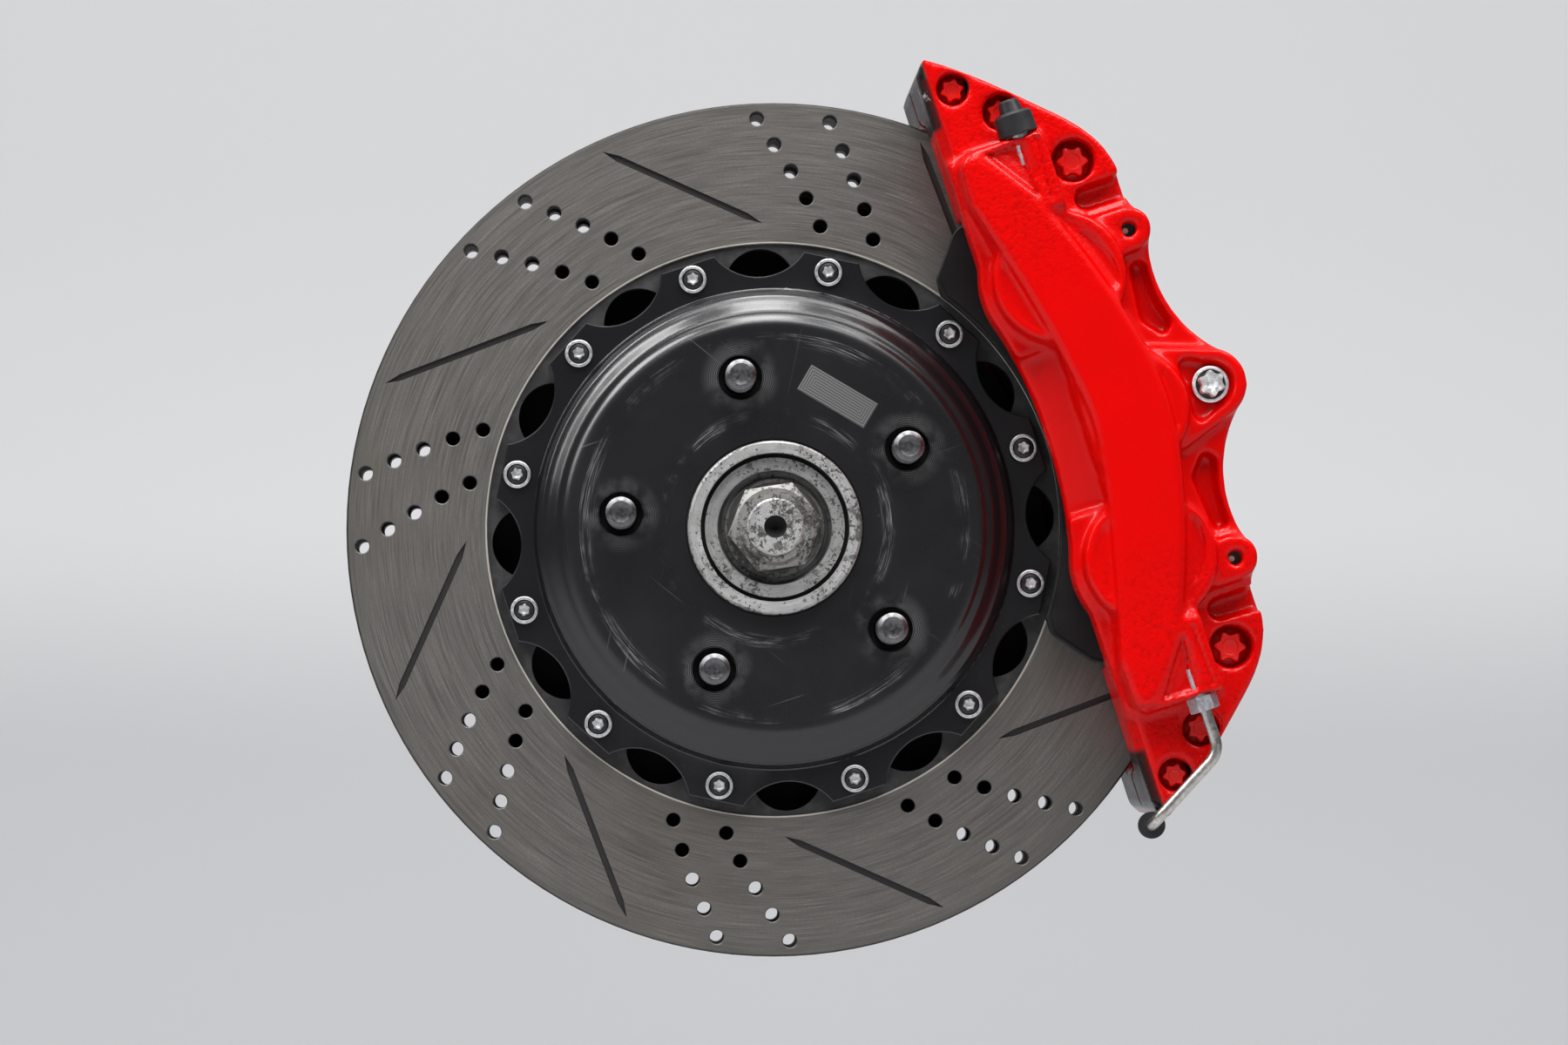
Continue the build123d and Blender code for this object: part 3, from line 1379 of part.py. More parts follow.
# ================================================================ PISTONS AND SEALS
with BuildPart() as outer_pistons:
    for bore_r, bore_t, piston_d in piston_sites:
        with BuildSketch(calliper_plane(piston_depth)):
            with Locations((bore_r, bore_t)):
                Circle(piston_d / 2)
        extrude(amount=piston_l)
        with BuildSketch(calliper_plane(piston_depth)):
            with Locations((bore_r, bore_t)):
                Circle(piston_d / 2 - piston_wall)
        extrude(amount=piston_cup_depth, mode=Mode.SUBTRACT)
outer_pistons.part.label = "outer_pistons"
export_step(outer_pistons.part, "parts/outer_pistons.step")

with BuildPart() as inner_pistons:
    mirror(outer_pistons.part, about=mid_plane)
inner_pistons.part.label = "inner_pistons"
export_step(inner_pistons.part, "parts/inner_pistons.step")

with BuildPart() as piston_seals:
    for bore_r, bore_t, piston_d in piston_sites:
        with BuildSketch(calliper_plane(pad_space + seal_groove_at)):
            with Locations((bore_r, bore_t)):
                Circle(piston_d / 2 + seal_groove_depth - press_gap)
                Circle(piston_d / 2 + bore_clearance, mode=Mode.SUBTRACT)
        extrude(amount=seal_groove_w)
    mirror(about=mid_plane)
piston_seals.part.label = "piston_seals"
export_step(piston_seals.part, "parts/piston_seals.step")

with BuildPart() as piston_wipers:
    for bore_r, bore_t, piston_d in piston_sites:
        with BuildSketch(calliper_plane(pad_space)):
            with Locations((bore_r, bore_t)):
                Circle(piston_d / 2 + wiper_depth - press_gap)
                Circle(piston_d / 2 + bore_clearance, mode=Mode.SUBTRACT)
        extrude(amount=wiper_w)
    mirror(about=mid_plane)
piston_wipers.part.label = "piston_wipers"
export_step(piston_wipers.part, "parts/piston_wipers.step")

# ================================================================ BLEEDERS, PIPE AND INLET
port_plane = calliper_plane(port_depth)
port_axis = Axis(port_plane.from_local_coords((port_r, 0, 0)), port_plane.y_dir)
hex_end_t = port_end_t + bleeder_hex_l
nipple_end_t = hex_end_t + bleeder_nipple_l
with BuildPart() as bleeder_screws:
    with BuildSketch(along_plane(port_end_t)):
        with Locations((port_r, port_depth)):
            Circle(port_hole_d / 2 - press_gap)
    extrude(amount=bleeder_thread_l)
    with BuildSketch(along_plane(port_end_t)):
        with Locations((port_r, port_depth)):
            RegularPolygon(bleeder_hex / 2, 6, major_radius=False)
    extrude(amount=-bleeder_hex_l)
    with BuildSketch(along_plane(hex_end_t)):
        with Locations((port_r, port_depth)):
            Circle(bleeder_nipple_d / 2)
    extrude(amount=-bleeder_nipple_l)
    mirror(about=mid_plane)
bleeder_screws.part.label = "bleeder_screws"
export_step(bleeder_screws.part, "parts/bleeder_screws.step")

cap_foot_t = port_end_t + cap_slack
cap_step_t = cap_foot_t + cap_l
hex_room_r = bleeder_hex / sqrt(3) + cap_slack
nipple_room_r = bleeder_nipple_d / 2 + cap_slack
with BuildPart() as bleeder_caps:
    with BuildSketch(port_plane):
        with BuildLine():
            Polyline(
                (port_r + hex_room_r, cap_foot_t),
                (port_r + cap_d / 2 - cap_foot_edge, cap_foot_t),
                (port_r + cap_d / 2, cap_foot_t + cap_foot_edge),
                (port_r + cap_d / 2 - cap_waist, cap_step_t - cap_shoulder),
                (port_r + cap_d / 2 - cap_waist - cap_shoulder, cap_step_t),
                (port_r + cap_nose_d / 2 + cap_nose_flare, cap_step_t),
                (port_r + cap_nose_d / 2 - cap_nose_flare, cap_step_t + cap_nose_l - cap_nose_round),
                (port_r + cap_nose_d / 2 - cap_nose_flare - cap_nose_round, cap_step_t + cap_nose_l),
                (port_r, cap_step_t + cap_nose_l),
                (port_r, nipple_end_t + cap_slack),
                (port_r + nipple_room_r, nipple_end_t + cap_slack),
                (port_r + nipple_room_r, hex_end_t + cap_slack),
                (port_r + hex_room_r, hex_end_t + cap_slack),
                close=True,
            )
        make_face()
    revolve(axis=port_axis)
    mirror(about=mid_plane)
bleeder_caps.part.label = "bleeder_caps"
export_step(bleeder_caps.part, "parts/bleeder_caps.step")

with BuildPart() as pipe_nuts:
    with BuildSketch(along_plane(-port_end_t)):
        with Locations((port_r, port_depth)):
            RegularPolygon(pipe_nut_flats / 2, 6, major_radius=False)
    extrude(amount=pipe_nut_l)
    with BuildSketch(along_plane(-port_end_t)):
        with Locations((port_r, port_depth)):
            Circle(port_hole_d / 2 - press_gap)
    extrude(amount=-bleeder_thread_l)
    with BuildSketch(along_plane(-port_end_t)):
        with Locations((port_r, port_depth)):
            Circle(pipe_d / 2 + press_gap)
    extrude(amount=bleeder_thread_l, both=True, mode=Mode.SUBTRACT)
    mirror(about=mid_plane)
pipe_nuts.part.label = "pipe_nuts"
export_step(pipe_nuts.part, "parts/pipe_nuts.step")

low_plane = calliper_plane(-disc_t - port_depth)
pipe_start_t = -port_end_t + pipe_seat_l
sleeve_start = port_plane.from_local_coords((pipe_low_r, -pipe_low_t, 0))
pipe_back = low_plane.from_local_coords((pipe_back_r, -pipe_back_t, 0))
sleeve_way = (pipe_back - sleeve_start).normalized()
with BuildPart() as crossover_pipe:
    with BuildLine() as pipe_path:
        FilletPolyline(
            port_plane.from_local_coords((port_r, pipe_start_t, 0)),
            port_plane.from_local_coords((port_r, -pipe_knee_t, 0)),
            sleeve_start,
            pipe_back,
            low_plane.from_local_coords((port_r, -pipe_knee_t, 0)),
            low_plane.from_local_coords((port_r, pipe_start_t, 0)),
            radius=(pipe_knee_radius, pipe_low_radius, pipe_low_radius, pipe_knee_radius),
        )
    with BuildSketch(Plane(origin=pipe_path.line @ 0, z_dir=pipe_path.line % 0)):
        Circle(pipe_d / 2)
    sweep()
crossover_pipe.part.label = "crossover_pipe"
export_step(crossover_pipe.part, "parts/crossover_pipe.step")

sleeve_mouth = sleeve_start + sleeve_way * (pipe_low_radius + sleeve_inset)
with BuildPart() as pipe_sleeve:
    with BuildSketch(Plane(origin=sleeve_mouth, z_dir=sleeve_way)):
        Circle(sleeve_d / 2)
        Circle(pipe_d / 2 + press_gap, mode=Mode.SUBTRACT)
    extrude(amount=sleeve_l)
pipe_sleeve.part.label = "pipe_sleeve"
export_step(pipe_sleeve.part, "parts/pipe_sleeve.step")

with BuildPart() as inlet_fitting:
    with BuildSketch(inner_plane(boss_depth)):
        with Locations((inlet_r, inlet_t)):
            RegularPolygon(inlet_flats / 2, 6, major_radius=False)
    extrude(amount=-inlet_l)
    with BuildSketch(inner_plane(boss_depth)):
        with Locations((inlet_r, inlet_t)):
            Circle(port_hole_d / 2 - press_gap)
    extrude(amount=inlet_stem_l)
    with BuildSketch(inner_plane(boss_depth + inlet_l)):
        with Locations((inlet_r, inlet_t)):
            Circle(inlet_thread_d / 2)
    extrude(amount=inlet_bore_depth, mode=Mode.SUBTRACT)
inlet_fitting.part.label = "inlet_fitting"
export_step(inlet_fitting.part, "parts/inlet_fitting.step")
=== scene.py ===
import logging
import math
from dataclasses import dataclass
from enum import Enum
from functools import cached_property
from typing import Iterable, Sequence

import bmesh
import bpy
import numpy as np
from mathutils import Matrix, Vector


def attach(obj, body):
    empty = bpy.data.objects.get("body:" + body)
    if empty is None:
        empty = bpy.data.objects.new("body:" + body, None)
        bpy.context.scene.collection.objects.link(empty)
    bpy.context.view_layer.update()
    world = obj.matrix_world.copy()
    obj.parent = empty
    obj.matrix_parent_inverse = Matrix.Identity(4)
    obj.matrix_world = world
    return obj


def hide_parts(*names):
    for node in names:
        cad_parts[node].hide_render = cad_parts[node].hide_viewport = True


# Visual model of a front brake corner: a drilled and grooved two-piece disc on its wheel hub,
# gripped by a six-piston fixed calliper. Sizes in the classes are millimetres, angles degrees.

MM = 0.001
LOG = logging.getLogger("brake_corner")

# How near, in metres, points count as one on a turned form, on a CAD mesh and at a cut.
TURNED_WELD = 1e-6
CAD_WELD = 2e-6
CUT_SLACK = 1e-7

# Angles, in degrees, above which an edge is shaded crisp.
CREASE = 32.0
BELL_CREASE = 28.0
SOFT_CREASE = 60.0

# Largest chance turn of a copy about its own axis, in radians.
FULL_TURN = 6.283

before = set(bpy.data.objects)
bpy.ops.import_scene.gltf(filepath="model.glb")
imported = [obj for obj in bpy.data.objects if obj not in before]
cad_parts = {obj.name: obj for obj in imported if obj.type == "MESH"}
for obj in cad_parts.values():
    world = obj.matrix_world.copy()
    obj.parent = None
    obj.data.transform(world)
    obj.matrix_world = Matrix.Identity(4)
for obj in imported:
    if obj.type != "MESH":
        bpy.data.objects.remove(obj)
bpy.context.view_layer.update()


class Body(str, Enum):
    """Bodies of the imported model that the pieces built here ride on."""

    FIXED = "root"
    ROTOR = "rotor"


class Grain(Enum):
    """What the tool marks of a bare metal look like: rings about the axle, or a fine even grain."""

    TURNED = "turned"
    CAST = "cast"


# ---------------------------------------------------------------- places
@dataclass(frozen=True)
class CalliperPlace:
    """Turns places on the calliper into the frame: r outwards, t across, depth outboard of the disc."""

    turn: float = 18.0
    outer_face: float = 18.5

    def at(self, r: float, t: float, depth: float) -> Vector:
        """Place in the frame, in metres, of a point on the outboard side.

        Args:
            r: Distance from the axle along the calliper's centre line.
            t: Distance across that line.
            depth: Distance outboard of the outer friction face.

        Returns:
            The point in the frame.
        """
        angle = math.radians(self.turn)
        x = r * math.cos(angle) - t * math.sin(angle)
        z = r * math.sin(angle) + t * math.cos(angle)
        return Vector((x, self.outer_face - depth, z)) * MM

    def along(self, spots: np.ndarray) -> np.ndarray:
        """Part of each point or direction that runs outwards along the calliper's centre line."""
        angle = math.radians(self.turn)
        return spots[:, 0] * math.cos(angle) + spots[:, 2] * math.sin(angle)

    def across(self, spots: np.ndarray) -> np.ndarray:
        """Distance of each point from the calliper's centre line, on either side."""
        angle = math.radians(self.turn)
        return np.abs(spots[:, 2] * math.cos(angle) - spots[:, 0] * math.sin(angle))


@dataclass(frozen=True)
class StudCircle:
    """Where the wheel studs stand: the circle's radius, the first stud's angle and their number."""

    radius: float = 63.5
    angle: float = 30.9
    count: int = 5

    def centres(self) -> list[tuple[float, float]]:
        """X and Z of each stud's centre."""
        angles = [math.radians(self.angle + number * 360 / self.count) for number in range(self.count)]
        return [(self.radius * math.cos(angle), self.radius * math.sin(angle)) for angle in angles]


PLACE = CalliperPlace()
STUDS = StudCircle()


# ---------------------------------------------------------------- shader graphs
class Graph:
    """Adds nodes to one node tree and joins them."""

    def __init__(self, tree: bpy.types.NodeTree) -> None:
        """Takes the tree to fill."""
        self.tree = tree

    def node(self, kind: str, inputs: dict | None = None, **settings: object) -> bpy.types.Node:
        """Adds a node.

        Args:
            kind: Blender's type name of the node.
            inputs: Values or sockets by input name or index.
            settings: Attributes set on the node.

        Returns:
            The new node.
        """
        node = self.tree.nodes.new(kind)
        for key, value in settings.items():
            setattr(node, key, value)
        for key, value in (inputs or {}).items():
            self.feed(node.inputs[key], value)
        return node

    def feed(self, socket: bpy.types.NodeSocket, value: object) -> None:
        """Links a socket into an input, or sets the input's own value.

        Args:
            socket: The input.
            value: A socket, a number, a vector or a colour.
        """
        if isinstance(value, bpy.types.NodeSocket):
            self.tree.links.new(value, socket)
        elif isinstance(value, tuple) and len(value) == 3 and socket.type == "RGBA":
            socket.default_value = (*value, 1.0)
        else:
            socket.default_value = value

    def math(self, operation: str, first: object, second: object = 0.0) -> bpy.types.NodeSocket:
        """Adds a Math node.

        Args:
            operation: Blender's name of the operation.
            first: First number or socket.
            second: Second number or socket.

        Returns:
            The result.
        """
        node = self.node("ShaderNodeMath", operation=operation)
        for socket, value in zip(node.inputs, (first, second)):
            self.feed(socket, value)
        return node.outputs[0]

    def times(self, first: object, second: object) -> bpy.types.NodeSocket:
        """One value times another."""
        return self.math("MULTIPLY", first, second)

    def greater(self, first: object, second: object) -> bpy.types.NodeSocket:
        """The greater of two values."""
        return self.math("MAXIMUM", first, second)

    def length(self, x: object, z: object) -> bpy.types.NodeSocket:
        """Length of an offset in the disc's plane."""
        return self.math("SQRT", self.math("ADD", self.times(x, x), self.times(z, z)))

    def turned(self, x: object, z: object, angle: float) -> tuple[bpy.types.NodeSocket, bpy.types.NodeSocket]:
        """An offset in the disc's plane, measured along and across a line.

        Args:
            x: The offset's X part.
            z: Its Z part.
            angle: The line's angle from X, in radians.

        Returns:
            The parts along the line and across it.
        """
        along = self.math("ADD", self.times(x, math.cos(angle)), self.times(z, math.sin(angle)))
        across = self.math("SUBTRACT", self.times(z, math.cos(angle)), self.times(x, math.sin(angle)))
        return along, across

    def remap(
        self, value: object, low: float, high: float, start: float = 0.0, end: float = 1.0
    ) -> bpy.types.NodeSocket:
        """Smoothly remaps a value.

        Args:
            value: The value.
            low: Where it starts to change.
            high: Where it stops.
            start: Result up to low.
            end: Result from high on.

        Returns:
            The result.
        """
        node = self.node(
            "ShaderNodeMapRange",
            {"Value": value, "From Min": low, "From Max": high, "To Min": start, "To Max": end},
            interpolation_type="SMOOTHSTEP",
        )
        return node.outputs["Result"]

    def within(
        self, value: object, rise: tuple[float, float], fall: tuple[float, float]
    ) -> bpy.types.NodeSocket:
        """Mask of the band between a rise and a fall, as a ring has."""
        return self.times(self.remap(value, *rise), self.remap(value, *fall, 1.0, 0.0))

    def mix(self, share: object, first: object, second: object) -> bpy.types.NodeSocket:
        """Mixes two colours.

        Args:
            share: Share of the second colour.
            first: First colour.
            second: Second colour.

        Returns:
            The mixed colour.
        """
        node = self.node("ShaderNodeMix", data_type="RGBA")
        for name, value in (("Factor_Float", share), ("A_Color", first), ("B_Color", second)):
            socket = next(s for s in node.inputs if s.identifier == name)
            self.feed(socket, value)
        return next(s for s in node.outputs if s.identifier == "Result_Color")

    def noise(
        self, vector: object, scale: object, detail: float = 3.0, roughness: float = 0.55
    ) -> bpy.types.NodeSocket:
        """Adds a noise texture.

        Args:
            vector: Place that it reads.
            scale: How fine it is.
            detail: Number of finer layers.
            roughness: How much those show.

        Returns:
            Its value.
        """
        node = self.node(
            "ShaderNodeTexNoise",
            {"Vector": vector, "Scale": scale, "Detail": detail, "Roughness": roughness},
        )
        return node.outputs["Fac"]

    def place(self) -> bpy.types.NodeSocket:
        """The object coordinates, in metres."""
        return self.node("ShaderNodeTexCoord").outputs["Object"]

    def parts(self, vector: object) -> tuple[bpy.types.NodeSocket, ...]:
        """The X, Y and Z parts of a vector."""
        return tuple(self.node("ShaderNodeSeparateXYZ", {0: vector}).outputs)

    def group(self, tree: bpy.types.NodeTree, inputs: dict) -> bpy.types.Node:
        """Places a node group with its own values.

        Args:
            tree: The group.
            inputs: Values or sockets by input name.

        Returns:
            The group's node.
        """
        node = self.node("ShaderNodeGroup", node_tree=tree)
        for key, value in inputs.items():
            self.feed(node.inputs[key], value)
        return node


class GroupMaker:
    """Builds the shader node groups that several finishes share, each of them once."""

    @staticmethod
    def open(
        name: str, inputs: dict[str, float | None], outputs: Iterable[str]
    ) -> tuple[Graph, bpy.types.Node, bpy.types.Node]:
        """Starts a group with named sockets.

        Args:
            name: Name of the group.
            inputs: Input names, with a default number, or None for a vector.
            outputs: Names of the number outputs.

        Returns:
            The graph, its input node and its output node.
        """
        tree = bpy.data.node_groups.new(name, "ShaderNodeTree")
        for key, value in inputs.items():
            kind = "NodeSocketVector" if value is None else "NodeSocketFloat"
            socket = tree.interface.new_socket(key, in_out="INPUT", socket_type=kind)
            if value is not None:
                socket.default_value = value
        for key in outputs:
            tree.interface.new_socket(key, in_out="OUTPUT", socket_type="NodeSocketFloat")
        graph = Graph(tree)
        return graph, graph.node("NodeGroupInput"), graph.node("NodeGroupOutput")

    @cached_property
    def turned_lines(self) -> bpy.types.NodeTree:
        """Fine rings about the axle, as a lathe or a pad leaves them, with the radius in millimetres.

        Returns:
            The group.
        """
        graph, given, out = self.open(
            "TurnedLines", {"Place": None, "Fineness": 900.0, "Sweep": 2.5}, ("Lines", "Radius")
        )
        x, _, z = graph.parts(given.outputs["Place"])
        radius = graph.length(x, z)
        safe = graph.greater(radius, 1e-5)
        along_x = graph.times(graph.math("DIVIDE", x, safe), given.outputs["Sweep"])
        along_z = graph.times(graph.math("DIVIDE", z, safe), given.outputs["Sweep"])
        ring = graph.times(radius, given.outputs["Fineness"])
        streaked = graph.node("ShaderNodeCombineXYZ", {0: ring, 1: along_x, 2: along_z})
        graph.feed(out.inputs["Lines"], graph.noise(streaked.outputs[0], 1.0, 4.0, 0.62))
        graph.feed(out.inputs["Radius"], graph.times(radius, 1 / MM))
        return graph.tree

    @cached_property
    def specks(self) -> bpy.types.NodeTree:
        """Scattered spots with ragged edges, such as rust, chips or dust.

        Returns:
            The group.
        """
        graph, given, out = self.open(
            "Specks", {"Place": None, "Scale": 220.0, "Amount": 0.3}, ("Mask",)
        )
        place = given.outputs["Place"]
        coarse = graph.noise(place, given.outputs["Scale"], 6.0, 0.7)
        patches = graph.noise(place, 38.0, 2.0, 0.5)
        level = graph.math("ADD", coarse, graph.times(patches, 0.45))
        start = graph.math("SUBTRACT", 1.02, graph.times(given.outputs["Amount"], 0.45))
        mask = graph.times(graph.math("SUBTRACT", level, start), 14.0)
        clamped = graph.node("ShaderNodeClamp", {"Value": mask})
        graph.feed(out.inputs["Mask"], clamped.outputs[0])
        return graph.tree

    @cached_property
    def scratches(self) -> bpy.types.NodeTree:
        """Sparse hairline scratches that run at three angles.

        Returns:
            The group.
        """
        graph, given, out = self.open(
            "Scratches", {"Place": None, "Scale": 1.0, "Amount": 0.5}, ("Mask",)
        )
        total: object = 0.0
        for turn, fineness in ((12.0, 900.0), (71.0, 760.0), (128.0, 1100.0)):
            mapped = graph.node(
                "ShaderNodeMapping",
                {
                    "Vector": given.outputs["Place"],
                    "Rotation": (0.0, math.radians(turn), 0.0),
                    "Scale": (1 / fineness, 1 / 30.0, 1 / 22.0),
                },
                vector_type="TEXTURE",
            )
            scaled = graph.node("ShaderNodeVectorMath", {0: mapped.outputs[0]}, operation="SCALE")
            graph.feed(scaled.inputs["Scale"], given.outputs["Scale"])
            value = graph.noise(scaled.outputs[0], 1.0, 1.0, 0.4)
            line = graph.remap(value, 0.735, 0.80)
            total = graph.greater(total, line)
        graph.feed(out.inputs["Mask"], graph.times(total, given.outputs["Amount"]))
        return graph.tree

    @cached_property
    def worn_edges(self) -> bpy.types.NodeTree:
        """Mask of the outward edges, broken up so that the wear is uneven.

        Returns:
            The group.
        """
        graph, given, out = self.open(
            "WornEdges", {"Place": None, "Start": 0.54, "Breakup": 160.0}, ("Mask",)
        )
        point = graph.node("ShaderNodeNewGeometry").outputs["Pointiness"]
        ragged = graph.noise(given.outputs["Place"], given.outputs["Breakup"], 4.0, 0.5)
        over = graph.math("SUBTRACT", point, given.outputs["Start"])
        mask = graph.times(graph.times(over, 22.0), ragged)
        graph.feed(out.inputs["Mask"], graph.node("ShaderNodeClamp", {"Value": mask}).outputs[0])
        return graph.tree

    @cached_property
    def cast_skin(self) -> bpy.types.NodeTree:
        """Height of a painted casting's skin: broad waves with a fine orange peel over them.

        Returns:
            The group.
        """
        graph, given, out = self.open(
            "CastSkin", {"Place": None, "Coarse": 520.0, "Fine": 1300.0}, ("Height",)
        )
        place = given.outputs["Place"]
        coarse = graph.noise(place, given.outputs["Coarse"], 2.0, 0.5)
        fine = graph.noise(place, given.outputs["Fine"], 2.0, 0.5)
        graph.feed(out.inputs["Height"], graph.math("ADD", coarse, graph.times(fine, 0.3)))
        return graph.tree


GROUPS = GroupMaker()
Colour = tuple[float, float, float]


# How much darker a metal's troughs are than its own colour.
TROUGH = 0.72


def toned(colour: Colour, share: float) -> Colour:
    """A colour made lighter or darker by a share, white at most."""
    return tuple(min(1.0, part * share) for part in colour)


# ---------------------------------------------------------------- finishes
@dataclass(frozen=True)
class Finish:
    """A finish: builds its material the first time that a piece asks for it."""

    name: str

    def material(self) -> bpy.types.Material:
        """The finish's material, built if need be.

        Returns:
            The material.
        """
        known = bpy.data.materials.get("finish_" + self.name)
        if known is not None:
            return known
        material = bpy.data.materials.new("finish_" + self.name)
        material.use_nodes = True
        graph = Graph(material.node_tree)
        shader = material.node_tree.nodes["Principled BSDF"]
        self.paint(graph, shader)
        return material

    def paint(self, graph: Graph, shader: bpy.types.Node) -> None:
        """Sets the shader up. Each kind of finish has its own way.

        Args:
            graph: Graph of the material.
            shader: The material's Principled shader.
        """
        raise NotImplementedError

    @staticmethod
    def relief(
        graph: Graph, shader: bpy.types.Node, height: object, distance: float, strength: float
    ) -> None:
        """Feeds a height into the shader's normal.

        Args:
            graph: Graph of the material.
            shader: The material's Principled shader.
            height: Socket that gives the height.
            distance: Depth of the relief, in millimetres.
            strength: How much of it shows.
        """
        bump = graph.node(
            "ShaderNodeBump", {"Height": height, "Distance": distance * MM, "Strength": strength}
        )
        graph.feed(shader.inputs["Normal"], bump.outputs[0])


@dataclass(frozen=True)
class BareMetal(Finish):
    """Machined, drawn or cast bare metal, with tool marks, stains, brighter edges and, where asked, painted
    shade behind a depth.
    """

    colour: Colour = (0.60, 0.60, 0.60)
    stain: Colour = (0.10, 0.085, 0.07)
    roughness: float = 0.34
    metallic: float = 1.0
    grain: Grain = Grain.CAST
    stained: float = 0.0
    speck_scale: float = 220.0
    edge: float = 0.35
    tooling: float = 0.02
    dark_behind: float | None = None
    shadow: Colour = (0.012, 0.012, 0.013)

    def paint(self, graph: Graph, shader: bpy.types.Node) -> None:
        """Mixes tool marks, stains and bright edges, and paints shade behind a depth where asked.

        Args:
            graph: Graph of the material.
            shader: The material's Principled shader.
        """
        place = graph.place()
        if self.grain is Grain.TURNED:
            marks = graph.group(GROUPS.turned_lines, {"Place": place, "Fineness": 1500.0}).outputs["Lines"]
        else:
            marks = graph.noise(place, 700.0, 4.0, 0.6)
        mottle = graph.noise(place, 60.0, 3.0)
        light, dark = toned(self.colour, 1.18), toned(self.colour, TROUGH)
        tone = graph.mix(graph.remap(marks, 0.3, 0.7), dark, light)
        tone = graph.mix(graph.remap(mottle, 0.35, 0.7, 0.0, 0.45), tone, dark)
        worn = graph.group(GROUPS.worn_edges, {"Place": place}).outputs["Mask"]
        tone = graph.mix(graph.times(worn, self.edge), tone, light)
        # Painted shade: points deeper than dark_behind take the shadow colour, as a cup's floor or a bolt's
        # well in shadow looks.
        if self.dark_behind is not None:
            _, station, _ = graph.parts(place)
            behind = graph.remap(station, (self.dark_behind - 0.2) * MM, self.dark_behind * MM)
            tone = graph.mix(graph.times(behind, 0.93), tone, self.shadow)
        rough = graph.remap(marks, 0.25, 0.75, self.roughness - 0.07, self.roughness + 0.09)
        shader.inputs["Metallic"].default_value = self.metallic
        if self.stained > 0:
            specks = graph.group(
                GROUPS.specks, {"Place": place, "Scale": self.speck_scale, "Amount": self.stained}
            ).outputs["Mask"]
            tone = graph.mix(graph.times(specks, 0.92), tone, self.stain)
            rough = graph.math("ADD", rough, graph.times(specks, 0.3))
            graph.feed(
                shader.inputs["Metallic"],
                graph.remap(specks, 0.0, 1.0, self.metallic, self.metallic * 0.35),
            )
        graph.feed(shader.inputs["Base Color"], tone)
        graph.feed(shader.inputs["Roughness"], rough)
        self.relief(graph, shader, marks, self.tooling, 0.6)


@dataclass(frozen=True)
class Coated(Finish):
    """Coat, paint or rubber over a form, with dust, fine scratches and rubbed edges."""

    colour: Colour = (0.014, 0.014, 0.015)
    rubbed: Colour = (0.12, 0.12, 0.12)
    roughness: float = 0.42
    skin: float = 0.03
    skin_scale: float = 900.0
    edge: float = 0.5
    dust: float = 0.25
    gloss: float = 0.5

    def paint(self, graph: Graph, shader: bpy.types.Node) -> None:
        """Mixes dust, scratches and rubbed edges over the coat.

        Args:
            graph: Graph of the material.
            shader: The material's Principled shader.
        """
        shader.inputs["Specular IOR Level"].default_value = self.gloss
        place = graph.place()
        mottle = graph.noise(place, 45.0, 4.0)
        film = graph.times(graph.remap(mottle, 0.4, 0.75), self.dust)
        tone = graph.mix(film, self.colour, self.rubbed)
        worn = graph.group(GROUPS.worn_edges, {"Place": place}).outputs["Mask"]
        tone = graph.mix(graph.times(worn, self.edge), tone, self.rubbed)
        marks = graph.group(GROUPS.scratches, {"Place": place, "Amount": 0.35}).outputs["Mask"]
        tone = graph.mix(marks, tone, self.rubbed)
        graph.feed(shader.inputs["Base Color"], tone)
        graph.feed(
            shader.inputs["Roughness"],
            graph.remap(mottle, 0.3, 0.7, self.roughness - 0.06, self.roughness + 0.10),
        )
        grain = graph.noise(place, self.skin_scale, 2.0)
        self.relief(graph, shader, grain, self.skin, 0.5)


